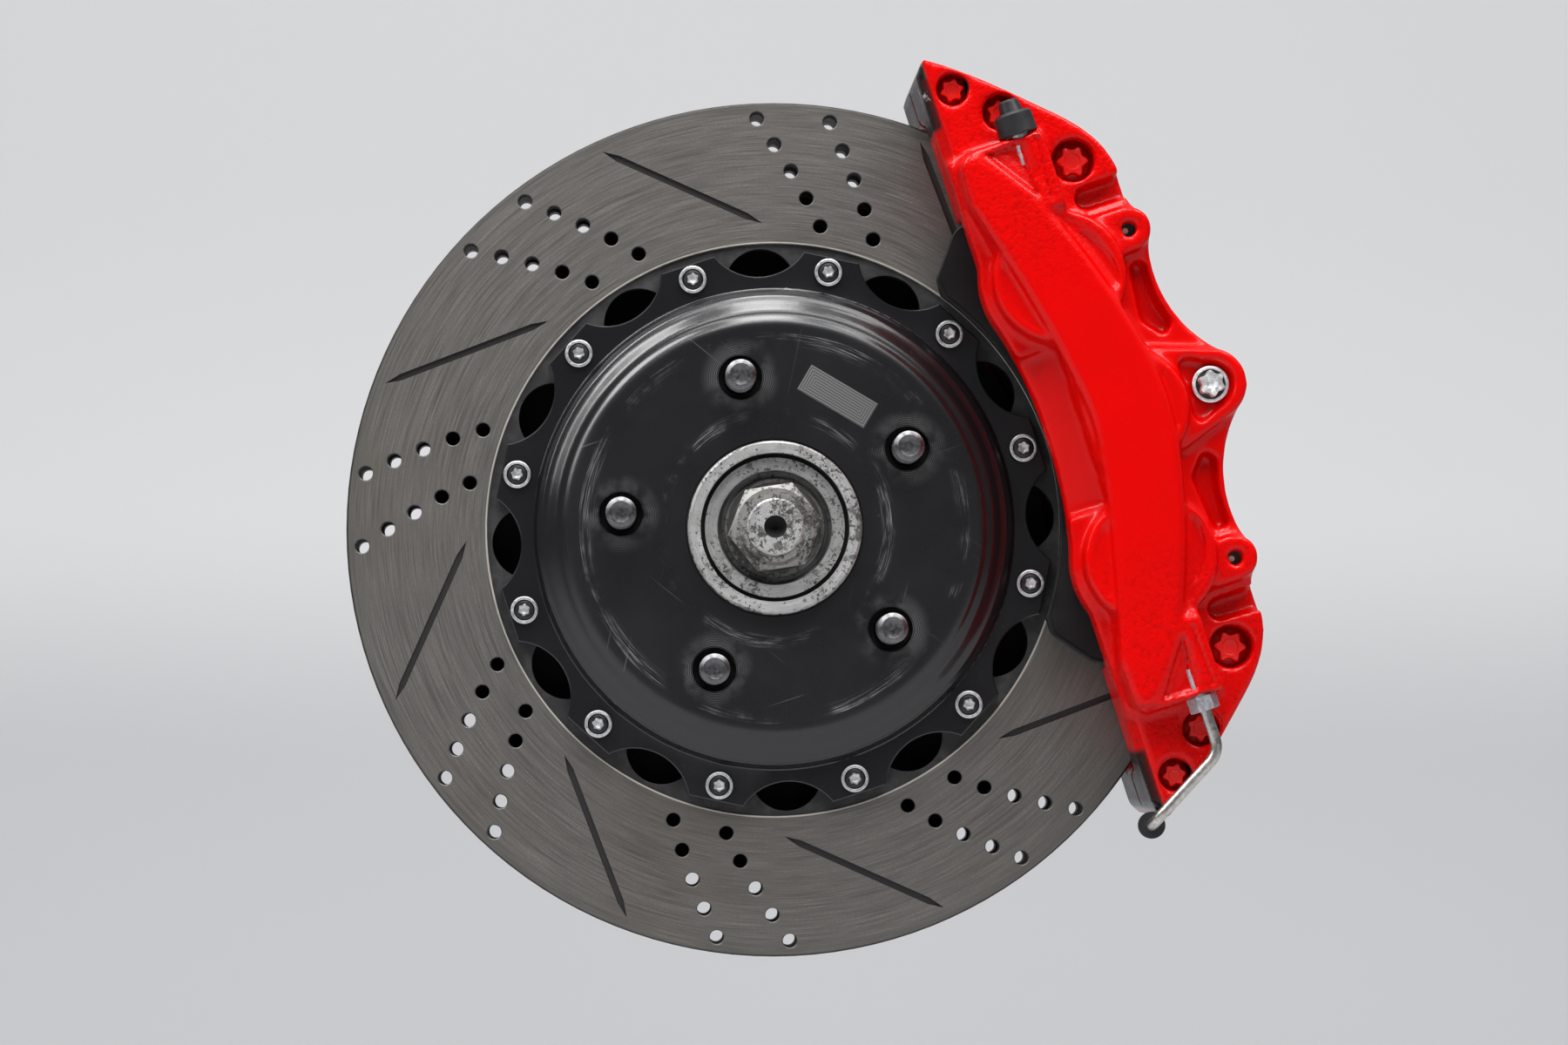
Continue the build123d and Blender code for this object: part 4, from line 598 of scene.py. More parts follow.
@dataclass(frozen=True)
class FrictionIron(Finish):
    """The disc ring: brushed iron faces, a black coat inside the friction ring, dull vanes."""

    face: Colour = (0.170, 0.161, 0.150)
    hairline: Colour = (0.55, 0.53, 0.50)
    score: Colour = (0.85, 0.83, 0.80)
    edge: Colour = (0.03, 0.028, 0.026)
    raw: Colour = (0.014, 0.012, 0.011)
    coat: Colour = (0.013, 0.013, 0.014)
    coat_dust: Colour = (0.2, 0.2, 0.2)
    # Colour of the painted highlight along the coat's step.
    step: Colour = (0.62, 0.58, 0.51)
    coat_radius: float = 119.15
    rim_radius: float = 176.4
    face_out: float = PLACE.outer_face
    face_in: float = 50.5

    def paint(self, graph: Graph, shader: bpy.types.Node) -> None:
        """Lays brushing, wear rings and scratches on the faces, the coat inside them, and a painted highlight
        along the coat's step.

        Args:
            graph: Graph of the material.
            shader: The material's Principled shader.
        """
        place = graph.place()
        turned = graph.group(GROUPS.turned_lines, {"Place": place, "Fineness": 2600.0, "Sweep": 6.0})
        broad = graph.group(GROUPS.turned_lines, {"Place": place, "Fineness": 160.0, "Sweep": 2.2})
        hair = graph.group(GROUPS.turned_lines, {"Place": place, "Fineness": 5200.0, "Sweep": 5.0})
        radius = turned.outputs["Radius"]
        lines = turned.outputs["Lines"]
        light, dark = toned(self.face, 1.28), toned(self.face, TROUGH)
        tone = graph.mix(graph.remap(lines, 0.28, 0.72), dark, light)
        tone = graph.mix(graph.remap(broad.outputs["Lines"], 0.35, 0.7, 0.0, 0.25), tone, dark)
        brown = (self.face[0] * 0.72, self.face[1] * 0.62, self.face[2] * 0.50)
        tone = graph.mix(graph.remap(graph.noise(place, 14.0, 3.0), 0.5, 0.8, 0.0, 0.35), tone, brown)
        groove = graph.remap(hair.outputs["Lines"], 0.70, 0.80)
        tone = graph.mix(graph.times(groove, 0.35), tone, self.hairline)
        arcs = graph.group(GROUPS.turned_lines, {"Place": place, "Fineness": 1500.0, "Sweep": 1.1})
        scored = graph.remap(arcs.outputs["Lines"], 0.735, 0.755)
        tone = graph.mix(graph.times(scored, 0.85), tone, self.score)
        grain = graph.remap(graph.noise(place, 1500.0, 2.0, 0.6), 0.36, 0.64)
        tone = graph.mix(graph.times(grain, 0.30), tone, dark)
        rim = graph.remap(radius, self.rim_radius - 5.0, self.rim_radius)
        tone = graph.mix(graph.times(rim, 0.35), tone, dark)
        edge = graph.remap(radius, self.rim_radius + 0.1, self.rim_radius + 0.6)
        tone = graph.mix(graph.times(edge, 0.8), tone, self.edge)
        _, station, _ = graph.parts(place)
        middle = (self.face_out + self.face_in) / 2 * MM
        off_middle = graph.math("ABSOLUTE", graph.math("SUBTRACT", station, middle))
        half = (self.face_in - self.face_out) / 2 * MM
        inside = graph.remap(off_middle, half - 0.5 * MM, half - 0.2 * MM, 1.0, 0.0)
        within = graph.remap(radius, self.rim_radius, self.rim_radius + 0.6, 1.0, 0.0)
        raw = graph.times(inside, within)
        tone = graph.mix(raw, tone, self.raw)
        coated = graph.remap(radius, self.coat_radius, self.coat_radius + 0.35, 1.0, 0.0)
        film = graph.remap(graph.noise(place, 120.0, 4.0, 0.6), 0.4, 0.7, 0.0, 0.12)
        tone = graph.mix(coated, tone, graph.mix(film, self.coat, self.coat_dust))
        # Painted highlight: a light line along the step where the coat meets the friction face.
        bright = graph.within(
            radius,
            (self.coat_radius - 0.2, self.coat_radius),
            (self.coat_radius + 0.45, self.coat_radius + 0.7),
        )
        tone = graph.mix(graph.times(bright, 0.8), tone, self.step)
        graph.feed(shader.inputs["Base Color"], tone)
        dull = graph.greater(coated, raw)
        graph.feed(shader.inputs["Metallic"], graph.remap(dull, 0.0, 1.0, 0.93, 0.0))
        rough = graph.remap(lines, 0.25, 0.75, 0.46, 0.60)
        graph.feed(shader.inputs["Roughness"], graph.greater(rough, graph.times(dull, 0.5)))
        self.relief(graph, shader, lines, 0.012, 0.7)


@dataclass(frozen=True)
class WornHub(Finish):
    """The hub, stub axle and nut: turned steel with pits and rust, dark with rust in its pocket, with painted
    shade in its groove, the gap round its seat and its centre bore.
    """

    colour: Colour = (0.56, 0.555, 0.545)
    inner: Colour = (0.46, 0.455, 0.445)
    rust: Colour = (0.012, 0.010, 0.009)
    trough: Colour = (0.12, 0.115, 0.11)
    cloud: Colour = (0.16, 0.155, 0.15)
    # Colour of the painted shade in the groove, the gap round the seat and the centre bore.
    painted_shade: Colour = (0.006, 0.006, 0.006)
    inner_rs: tuple[float, float] = (28.0, 31.0)
    axle_rs: tuple[float, float] = (11.0, 12.5)
    seat_r: float = 35.75
    seat_ys: tuple[float, float] = (-0.2, 0.4)
    groove_rs: tuple[float, float] = (28.8, 30.6)
    groove_ys: tuple[float, float] = (-4.95, -4.4)
    pocket_r: float = 23.6
    pocket_ys: tuple[float, float] = (-5.0, -1.5)
    centre_r: float = 4.7
    centre_ys: tuple[float, float] = (-11.3, -9.5)
    pits: float = 0.56
    dullness: float = 0.0
    roughness: float = 0.36
    metallic: float = 0.55

    def paint(self, graph: Graph, shader: bpy.types.Node) -> None:
        """Lays turning marks, pits and rust rings, darkens the pocket with rust, and paints shade into the
        groove, the gap round the seat and the centre bore.

        Args:
            graph: Graph of the material.
            shader: The material's Principled shader.
        """
        place = graph.place()
        turned = graph.group(GROUPS.turned_lines, {"Place": place, "Fineness": 2300.0, "Sweep": 2.0})
        bands = graph.group(GROUPS.turned_lines, {"Place": place, "Fineness": 520.0, "Sweep": 0.7})
        radius, lines = turned.outputs["Radius"], turned.outputs["Lines"]
        _, station, _ = graph.parts(place)
        base = graph.mix(graph.remap(radius, *self.inner_rs), self.inner, self.colour)
        base = graph.mix(graph.remap(radius, *self.axle_rs), self.colour, base)
        shade = graph.mix(graph.remap(lines, 0.3, 0.7), (0.35, 0.35, 0.35), (0.0, 0.0, 0.0))
        tone = graph.mix(shade, base, self.trough)
        cloud = graph.remap(graph.noise(place, 75.0, 4.0, 0.6), 0.42, 0.66)
        tone = graph.mix(graph.times(cloud, 0.35), tone, self.cloud)
        pit = graph.group(
            GROUPS.specks, {"Place": place, "Scale": 560.0, "Amount": self.pits}
        ).outputs["Mask"]
        blot = graph.group(
            GROUPS.specks, {"Place": place, "Scale": 190.0, "Amount": self.pits * 0.9}
        ).outputs["Mask"]
        rust = graph.greater(pit, graph.times(blot, 0.85))
        deep = graph.times(
            graph.remap(station, *(y * MM for y in self.pocket_ys)),
            graph.remap(radius, self.pocket_r, self.pocket_r + 0.3, 1.0, 0.0),
        )
        grime = graph.times(deep, graph.remap(bands.outputs["Lines"], 0.40, 0.60, 1.0, 0.58))
        rust = graph.greater(graph.greater(rust, grime), self.dullness)
        tone = graph.mix(graph.times(rust, 0.93), tone, self.rust)
        # Painted shade: the groove, the gap round the seat and the small centre bore turn near-black and
        # dull.
        rise, fall = ((r - 0.1, r + 0.1) for r in self.groove_rs)
        groove = graph.within(radius, rise, fall)
        groove = graph.times(groove, graph.remap(station, *(y * MM for y in self.groove_ys)))
        seat = graph.times(
            graph.remap(radius, self.seat_r, self.seat_r + 0.15),
            graph.remap(station, *(y * MM for y in self.seat_ys)),
        )
        core = graph.times(
            graph.remap(radius, self.centre_r - 0.1, self.centre_r + 0.05, 1.0, 0.0),
            graph.remap(station, *(y * MM for y in self.centre_ys)),
        )
        painted_shade = graph.greater(graph.greater(groove, seat), core)
        tone = graph.mix(painted_shade, tone, self.painted_shade)
        graph.feed(shader.inputs["Base Color"], tone)
        dull = graph.greater(graph.times(rust, 0.75), painted_shade)
        graph.feed(shader.inputs["Metallic"], graph.remap(dull, 0.0, 1.0, self.metallic, 0.0))
        rough = graph.remap(lines, 0.25, 0.75, self.roughness - 0.07, self.roughness + 0.09)
        graph.feed(shader.inputs["Roughness"], graph.greater(rough, graph.times(dull, 0.75)))
        sunk = graph.math("SUBTRACT", lines, graph.times(rust, 2.0))
        self.relief(graph, shader, sunk, 0.03, 0.8)


@dataclass(frozen=True)
class HatBlack(Finish):
    """The hat: satin black over turned aluminium, with cutter marks and an etched block of lines."""

    colour: Colour = (0.0065, 0.0065, 0.0075)
    mark: Colour = (0.20, 0.20, 0.202)
    etched_dark: Colour = (0.045, 0.045, 0.045)
    etched_light: Colour = (0.13, 0.13, 0.13)
    face_ys: tuple[float, float] = (0.3, 1.2)
    swirl_rs: tuple[float, float] = (10.5, 17.5)
    swirl_fineness: float = 9000.0
    outer_ring_rs: tuple[tuple[float, float], tuple[float, float]] = ((74.0, 79.0), (80.5, 81.0))
    inner_ring_rs: tuple[tuple[float, float], tuple[float, float]] = ((43.5, 46.5), (47.5, 50.5))
    etched_at: tuple[float, float] = (25.9, 54.1)
    etched_size: tuple[float, float] = (31.8, 11.7)
    etched_turn: float = -30.6
    etched_pitch: float = 1.06

    def stud_swirl(self, graph: Graph, place: object) -> bpy.types.NodeSocket:
        """Mask of the cutter's swirl round each stud hole.

        Args:
            graph: Graph of the material.
            place: Object coordinates.

        Returns:
            The mask.
        """
        x, _, z = graph.parts(place)
        nearest: object = 1.0
        for stud_x, stud_z in STUDS.centres():
            dx = graph.math("SUBTRACT", x, stud_x * MM)
            dz = graph.math("SUBTRACT", z, stud_z * MM)
            nearest = graph.math("MINIMUM", nearest, graph.length(dx, dz))
        wave = graph.math("SINE", graph.times(nearest, self.swirl_fineness))
        near = graph.remap(nearest, self.swirl_rs[0] * MM, self.swirl_rs[1] * MM, 1.0, 0.0)
        patchy = graph.remap(graph.noise(place, 60.0, 4.0, 0.65), 0.40, 0.60)
        ring = graph.times(graph.remap(wave, -0.2, 1.0), near)
        return graph.times(ring, patchy)

    def etched(self, graph: Graph, place: object) -> tuple[bpy.types.NodeSocket, bpy.types.NodeSocket]:
        """The etched block on the hat's face.

        Args:
            graph: Graph of the material.
            place: Object coordinates.

        Returns:
            Its outline's mask and its lines' mask.
        """
        x, station, z = graph.parts(place)
        dx = graph.math("SUBTRACT", x, self.etched_at[0] * MM)
        dz = graph.math("SUBTRACT", z, self.etched_at[1] * MM)
        along, across = graph.turned(dx, dz, math.radians(self.etched_turn))
        half_l, half_w = self.etched_size[0] / 2 * MM, self.etched_size[1] / 2 * MM
        soft = 0.12 * MM
        in_l = graph.remap(graph.math("ABSOLUTE", along), half_l - soft, half_l + soft, 1.0, 0.0)
        in_w = graph.remap(graph.math("ABSOLUTE", across), half_w - soft, half_w + soft, 1.0, 0.0)
        front = graph.remap(station, 0.2 * MM, 0.5 * MM, 1.0, 0.0)
        outline = graph.times(graph.times(in_l, in_w), front)
        # Lines run along the block, and across it at each mitred end.
        end_depth = graph.math("SUBTRACT", half_l, graph.math("ABSOLUTE", along))
        side_depth = graph.math("SUBTRACT", half_w, graph.math("ABSOLUTE", across))
        in_end = graph.math("LESS_THAN", end_depth, side_depth)
        line_place = graph.node("ShaderNodeMix", data_type="FLOAT")
        graph.feed(line_place.inputs[0], in_end)
        graph.feed(line_place.inputs[2], across)
        graph.feed(line_place.inputs[3], along)
        phase = graph.times(line_place.outputs[0], 2 * math.pi / (self.etched_pitch * MM))
        lines = graph.remap(graph.math("SINE", phase), -0.6, 0.7)
        return outline, lines

    def paint(self, graph: Graph, shader: bpy.types.Node) -> None:
        """Lays cutter marks, scuffs, scratches and the etched block over the black.

        Args:
            graph: Graph of the material.
            shader: The material's Principled shader.
        """
        place = graph.place()
        turned = graph.group(GROUPS.turned_lines, {"Place": place, "Fineness": 2600.0, "Sweep": 4.0})
        radius = turned.outputs["Radius"]
        _, station, _ = graph.parts(place)
        face = graph.remap(station, self.face_ys[0] * MM, self.face_ys[1] * MM, 1.0, 0.0)
        mottle = graph.noise(place, 34.0, 5.0, 0.6)
        scuffed = graph.remap(mottle, 0.44, 0.62)
        outer_ring = graph.within(radius, *self.outer_ring_rs)
        inner_ring = graph.within(radius, *self.inner_ring_rs)
        streaks = graph.remap(turned.outputs["Lines"], 0.46, 0.66)
        worn_ring = graph.times(graph.greater(outer_ring, inner_ring), scuffed)
        marks = graph.times(graph.times(worn_ring, streaks), face)
        swirl = graph.times(self.stud_swirl(graph, place), face)
        scratch = graph.group(GROUPS.scratches, {"Place": place, "Amount": 0.22}).outputs["Mask"]
        dust = graph.group(
            GROUPS.specks, {"Place": place, "Scale": 900.0, "Amount": 0.16}
        ).outputs["Mask"]
        light = graph.greater(graph.times(marks, 0.9), graph.times(swirl, 0.55))
        light = graph.greater(light, graph.times(scratch, face))
        light = graph.greater(light, graph.times(dust, 0.5))
        tone = graph.mix(light, self.colour, self.mark)
        outline, lines = self.etched(graph, place)
        hatch = graph.mix(lines, self.etched_dark, self.etched_light)
        tone = graph.mix(outline, tone, hatch)
        graph.feed(shader.inputs["Base Color"], tone)
        rough = graph.remap(mottle, 0.35, 0.7, 0.20, 0.26)
        rough = graph.math("ADD", rough, graph.times(face, 0.07))
        graph.feed(shader.inputs["Roughness"], graph.greater(rough, graph.times(outline, 0.55)))
        shader.inputs["Metallic"].default_value = 0.0
        shader.inputs["Specular IOR Level"].default_value = 0.55
        self.relief(graph, shader, turned.outputs["Lines"], 0.002, 0.5)


@dataclass(frozen=True)
class CalliperRed(Finish):
    """Glossy red over a casting: smooth on the band, peel towards its ends, near-black end walls facing the
    axle without the coat, bare tips.
    """

    colour: Colour = (0.60, 0.0008, 0.0006)
    deep: Colour = (0.47, 0.0006, 0.0004)
    dimple: Colour = (0.30, 0.0004, 0.0003)
    bare: Colour = (0.30, 0.28, 0.27)
    wall: Colour = (0.022, 0.012, 0.012)
    nick: Colour = (0.42, 0.40, 0.39)
    peel: float = 0.42
    smooth_t: float = 40.0
    peel_t: float = 85.0
    lip_ys: tuple[float, float] = (-2.0, -7.0)
    tip_t: float = 153.5
    tip_r: float = 114.3
    wall_attribute: str = "end_wall"

    def paint(self, graph: Graph, shader: bpy.types.Node) -> None:
        """Lays the paint, its peel and the bare tips.

        Args:
            graph: Graph of the material.
            shader: The material's Principled shader.
        """
        place = graph.place()
        x, station, z = graph.parts(place)
        r, t = graph.turned(x, z, math.radians(PLACE.turn))
        across = graph.math("ABSOLUTE", t)
        mottle = graph.noise(place, 26.0, 3.0)
        tone = graph.mix(graph.remap(mottle, 0.35, 0.7, 0.0, 0.35), self.colour, self.deep)
        skin = graph.group(GROUPS.cast_skin, {"Place": place}).outputs["Height"]
        ends = graph.remap(across, self.smooth_t * MM, self.peel_t * MM, 0.08, 1.0)
        dimple = graph.times(graph.remap(skin, 0.66, 0.42), graph.times(ends, 0.4))
        tone = graph.mix(dimple, tone, self.dimple)
        chips = graph.group(
            GROUPS.specks, {"Place": place, "Scale": 210.0, "Amount": 0.95}
        ).outputs["Mask"]
        tip = graph.times(
            graph.remap(across, self.tip_t * MM, (self.tip_t + 2.5) * MM),
            graph.remap(r, (self.tip_r - 1.0) * MM, (self.tip_r + 1.0) * MM, 1.0, 0.0),
        )
        bare = graph.times(tip, graph.remap(chips, 0.0, 0.6))
        tone = graph.mix(bare, tone, self.bare)
        wall = graph.node("ShaderNodeAttribute", attribute_name=self.wall_attribute).outputs["Fac"]
        tone = graph.mix(wall, tone, self.wall)
        nicks = graph.group(
            GROUPS.specks, {"Place": place, "Scale": 150.0, "Amount": 0.42}
        ).outputs["Mask"]
        lip = graph.remap(station, *(y * MM for y in self.lip_ys))
        tone = graph.mix(graph.times(wall, graph.times(nicks, lip)), tone, self.nick)
        graph.feed(shader.inputs["Base Color"], tone)
        graph.feed(shader.inputs["Metallic"], graph.times(bare, 0.9))
        graph.feed(shader.inputs["Roughness"], graph.remap(mottle, 0.3, 0.7, 0.24, 0.32))
        shader.inputs["Coat Roughness"].default_value = 0.06
        matt = graph.greater(bare, wall)
        graph.feed(shader.inputs["Coat Weight"], graph.remap(matt, 0.0, 1.0, 0.24, 0.0))
        shader.inputs["Specular IOR Level"].default_value = 0.06
        self.relief(graph, shader, graph.times(skin, ends), self.peel, 1.0)


@dataclass(frozen=True)
class PinSteel(Finish):
    """Pad pins deep in their holes: near-black, with a bright dot at the centre of each end."""

    colour: Colour = (0.010, 0.010, 0.010)
    bright: Colour = (0.90, 0.85, 0.78)
    pin_r: float = 172.3
    pin_t: float = 70.2
    dot_r: float = 1.2

    def paint(self, graph: Graph, shader: bpy.types.Node) -> None:
        """Lays the bright dot on each pin's end over the near-black steel.

        Args:
            graph: Graph of the material.
            shader: The material's Principled shader.
        """
        place = graph.place()
        x, _, z = graph.parts(place)
        nearest: object = 1.0
        for side in (1, -1):
            centre = PLACE.at(self.pin_r, side * self.pin_t, 0.0)
            dx = graph.math("SUBTRACT", x, centre.x)
            dz = graph.math("SUBTRACT", z, centre.z)
            nearest = graph.math("MINIMUM", nearest, graph.length(dx, dz))
        dot = graph.remap(nearest, (self.dot_r - 0.15) * MM, (self.dot_r + 0.15) * MM, 1.0, 0.0)
        grain = graph.noise(place, 900.0, 4.0)
        dot = graph.times(dot, graph.remap(grain, 0.25, 0.6, 0.55, 1.0))
        graph.feed(shader.inputs["Base Color"], graph.mix(dot, self.colour, self.bright))
        graph.feed(shader.inputs["Metallic"], graph.times(dot, 0.1))
        graph.feed(shader.inputs["Roughness"], graph.remap(grain, 0.3, 0.7, 0.38, 0.52))
        self.relief(graph, shader, grain, 0.01, 0.5)


@dataclass(frozen=True)
class Studio(Finish):
    """Pale matt floor and backdrop, with a glow that only the camera sees and that lights nothing."""

    tone: Colour = (0.50, 0.50, 0.51)
    wall_glow: Colour = (0.30, 0.30, 0.30)
    floor_glow: Colour = (0.13, 0.13, 0.13)
    horizon: tuple[float, float] = (-0.12, 0.16)

    def paint(self, graph: Graph, shader: bpy.types.Node) -> None:
        """Sets a matt pale surface.

        Args:
            graph: Graph of the material.
            shader: The material's Principled shader.
        """
        place = graph.place()
        cloud = graph.noise(place, 0.6, 2.0)
        light = toned(self.tone, 1.05)
        tone = graph.mix(graph.remap(cloud, 0.3, 0.7), self.tone, light)
        graph.feed(shader.inputs["Base Color"], tone)
        shader.inputs["Roughness"].default_value = 0.9
        shader.inputs["Specular IOR Level"].default_value = 0.1
        seen = graph.node("ShaderNodeLightPath").outputs["Is Camera Ray"]
        _, _, height = graph.parts(place)
        glow = graph.mix(graph.remap(height, *self.horizon), self.floor_glow, self.wall_glow)
        graph.feed(shader.inputs["Emission Color"], glow)
        graph.feed(shader.inputs["Emission Strength"], seen)


IRON = FrictionIron("friction_iron")
HAT = HatBlack("hat_black")
RED = CalliperRed("caliper_red")
RED_BOLT = Coated(
    "red_bolt",
    colour=(0.62, 0.004, 0.002), rubbed=(0.75, 0.02, 0.01), roughness=0.3, dust=0.3, edge=0.6,
)
ZINC = BareMetal("zinc_steel", colour=(0.74, 0.74, 0.75), roughness=0.30, tooling=0.003)
# Painted shade on the centre bolt's flange and shank, behind -23 mm, in its well.
CENTRE = BareMetal(
    "centre_zinc", colour=(0.86, 0.86, 0.87), roughness=0.44, tooling=0.006, dark_behind=-23.0
)
# Painted shade on the floors of the hat's washer cups and the bolt flanges in them, behind 11.5 mm.
CUPPED = BareMetal(
    "cupped_zinc", colour=(0.62, 0.62, 0.63), roughness=0.42, tooling=0.002, dark_behind=11.5
)
HUB = WornHub("hub_steel")
NUT = WornHub(
    "nut_steel",
    colour=(0.40, 0.39, 0.37), inner=(0.40, 0.39, 0.37), pits=0.66, dullness=0.3, roughness=0.48,
)
RACE = BareMetal(
    "race_steel", colour=(0.50, 0.49, 0.47), roughness=0.36, grain=Grain.TURNED, stained=0.35
)
STUD = BareMetal(
    "stud_steel", colour=(0.15, 0.15, 0.155), roughness=0.36, stained=0.1, edge=0.9, tooling=0.004
)
BEARING = BareMetal("bearing_steel", colour=(0.62, 0.62, 0.63), roughness=0.2, grain=Grain.TURNED)
BRASS = BareMetal("brass_cage", colour=(0.72, 0.53, 0.24), roughness=0.3)
STAINLESS = BareMetal("stainless", colour=(0.60, 0.60, 0.60), roughness=0.28)
PISTON = BareMetal("piston_alloy", colour=(0.55, 0.55, 0.57), roughness=0.35)
PIPE = BareMetal(
    "pipe_steel", colour=(0.50, 0.48, 0.45), roughness=0.34, stained=0.15, speck_scale=500.0
)
RUBBER = Coated(
    "black_rubber",
    colour=(0.006, 0.006, 0.007), rubbed=(0.06, 0.06, 0.065), roughness=0.36, dust=0.12, edge=0.05,
)
SHIELD = Coated(
    "shield_black",
    colour=(0.006, 0.006, 0.0065), rubbed=(0.04, 0.04, 0.04), roughness=0.44,
    dust=0.1, edge=0.0, gloss=0.2,
)
PLATED = BareMetal("plated_steel", colour=(0.60, 0.60, 0.63), roughness=0.4, tooling=0.003)
BRACKET = Coated(
    "bracket_black", colour=(0.02, 0.02, 0.021), roughness=0.55, skin=0.06, skin_scale=500.0
)
PIN = PinSteel("pin_steel")
PAD = Coated(
    "pad_black",
    colour=(0.007, 0.007, 0.0075), rubbed=(0.05, 0.05, 0.05), roughness=0.44,
    dust=0.1, edge=0.0, gloss=0.22,
)
LINING = BareMetal(
    "friction_block",
    colour=(0.085, 0.075, 0.07), roughness=0.85, metallic=0.15, stained=0.5, speck_scale=600.0,
)


# ---------------------------------------------------------------- mesh work
@dataclass(frozen=True)
class Ring:
    """One ring of a turned form: its radius and place along the axis, with any star or thread."""

    radius: float
    along: float
    star: float = 0.0
    thread: float = 0.0


@dataclass
class TurnedForm:
    """A form turned about one axis, from rings joined in order and closed at the ends.

    Along is measured outboard, towards -Y. A closed loop of rings makes a tube or a washer.
    """

    name: str
    rings: Sequence[Ring]
    segments: int = 48
    points: int = 6
    fullness: float = 0.8
    pitch: float = 1.25
    flank: float = 3.2
    crest: float = 0.3
    loop: bool = False

    def radius(self, ring: Ring, angle: float) -> float:
        """Radius of a ring at an angle, with its star and its thread.

        Args:
            ring: The ring.
            angle: The angle, in radians.

        Returns:
            The radius.
        """
        lobes = (1 - math.cos(self.points * angle)) / 2
        value = ring.radius * (1 - ring.star * lobes**self.fullness)
        if ring.thread:
            phase = (ring.along / self.pitch + angle / (2 * math.pi)) % 1.0
            value -= ring.thread * min(1.0, max(0.0, abs(phase - 0.5) * self.flank - self.crest))
        return value

    def build(self) -> bpy.types.Object:
        """Builds the form at the origin, its axis along Y.

        Returns:
            The new object.
        """
        mesh = bmesh.new()
        rows = []
        for ring in self.rings:
            row = []
            for number in range(self.segments):
                angle = 2 * math.pi * number / self.segments
                reach = self.radius(ring, angle)
                row.append(
                    mesh.verts.new(
                        (reach * math.cos(angle) * MM, -ring.along * MM, reach * math.sin(angle) * MM)
                    )
                )
            rows.append(row)
        pairs = list(zip(rows, rows[1:]))
        if self.loop:
            pairs.append((rows[-1], rows[0]))
        for low, high in pairs:
            for number in range(self.segments):
                after = (number + 1) % self.segments
                mesh.faces.new((low[number], low[after], high[after], high[number]))
        if not self.loop:
            for row, ring in ((rows[0], self.rings[0]), (rows[-1], self.rings[-1])):
                centre = mesh.verts.new((0, -ring.along * MM, 0))
                for number in range(self.segments):
                    mesh.faces.new((row[number], row[(number + 1) % self.segments], centre))
        bmesh.ops.remove_doubles(mesh, verts=mesh.verts, dist=TURNED_WELD)
        bmesh.ops.recalc_face_normals(mesh, faces=mesh.faces)
        return Workshop.to_object(self.name, mesh)


class Workshop:
    """Mesh operations that several sub-assemblies use."""

    @staticmethod
    def to_object(name: str, mesh: bmesh.types.BMesh) -> bpy.types.Object:
        """Turns a bmesh into a linked object at the origin and frees it.

        Args:
            name: Name of the object.
            mesh: The bmesh.

        Returns:
            The object.
        """
        data = bpy.data.meshes.new(name)
        mesh.to_mesh(data)
        mesh.free()
        obj = bpy.data.objects.new(name, data)
        bpy.context.scene.collection.objects.link(obj)
        return obj

    @staticmethod
    def smooth(obj: bpy.types.Object, angle: float = CREASE) -> None:
        """Shades a mesh smooth, with its sharper edges kept crisp.

        Args:
            obj: The object.
            angle: Angle above which an edge is crisp.
        """
        data = obj.data
        data.polygons.foreach_set("use_smooth", [True] * len(data.polygons))
        data.set_sharp_from_angle(angle=math.radians(angle))
        data.update()

    @staticmethod
    def dress(obj: bpy.types.Object, finish: Finish) -> None:
        """Gives an object one finish all over."""
        obj.data.materials.clear()
        obj.data.materials.append(finish.material())

    @staticmethod
    def node(name: str, finish: Finish) -> None:
        """Gives a CAD node's object a finish in each of its material slots.

        Args:
            name: Name of the node.
            finish: The finish.
        """
        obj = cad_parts[name]
        if not obj.material_slots:
            obj.data.materials.append(finish.material())
        for slot in obj.material_slots:
            slot.material = finish.material()
        LOG.info("finish %s on node %s", finish.name, name)

    @staticmethod
    def merged_copy(name: str, source: str) -> bpy.types.Object:
        """Copies a CAD node's mesh into a new object with its doubles merged.

        Args:
            name: Name of the new object.
            source: Name of the CAD node.

        Returns:
            The new object.
        """
        mesh = bmesh.new()
        mesh.from_mesh(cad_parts[source].data)
        bmesh.ops.remove_doubles(mesh, verts=mesh.verts, dist=CAD_WELD)
        obj = Workshop.to_object(name, mesh)
        for attribute in ("custom_normal", "sharp_edge", "sharp_face"):
            known = obj.data.attributes.get(attribute)
            if known is not None:
                obj.data.attributes.remove(known)
        return obj

    @staticmethod
    def apply(obj: bpy.types.Object) -> None:
        """Turns an object's modifiers into plain mesh.

        Args:
            obj: The object.
        """
        graph = bpy.context.evaluated_depsgraph_get()
        evaluated = obj.evaluated_get(graph)
        data = bpy.data.meshes.new_from_object(evaluated, depsgraph=graph)
        obj.modifiers.clear()
        old = obj.data
        obj.data = data
        if old.users == 0:
            bpy.data.meshes.remove(old)

    @staticmethod
    def hand_over(
        obj: bpy.types.Object, body: Body, slot: str, replaced: Iterable[str] = ()
    ) -> bpy.types.Object:
        """Parents a finished piece to its body and hides the CAD nodes that it stands for.

        Args:
            obj: The piece.
            body: The body that it rides on.
            slot: Not used.
            replaced: CAD nodes that it stands for.

        Returns:
            The same piece.
        """
        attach(obj, body.value)
        names = tuple(replaced)
        if names:
            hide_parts(*names)
        LOG.info(
            "piece %s on %s: %d faces, stands for %s",
            obj.name, body.value, len(obj.data.polygons), ", ".join(names) or "nothing",
        )
        return obj


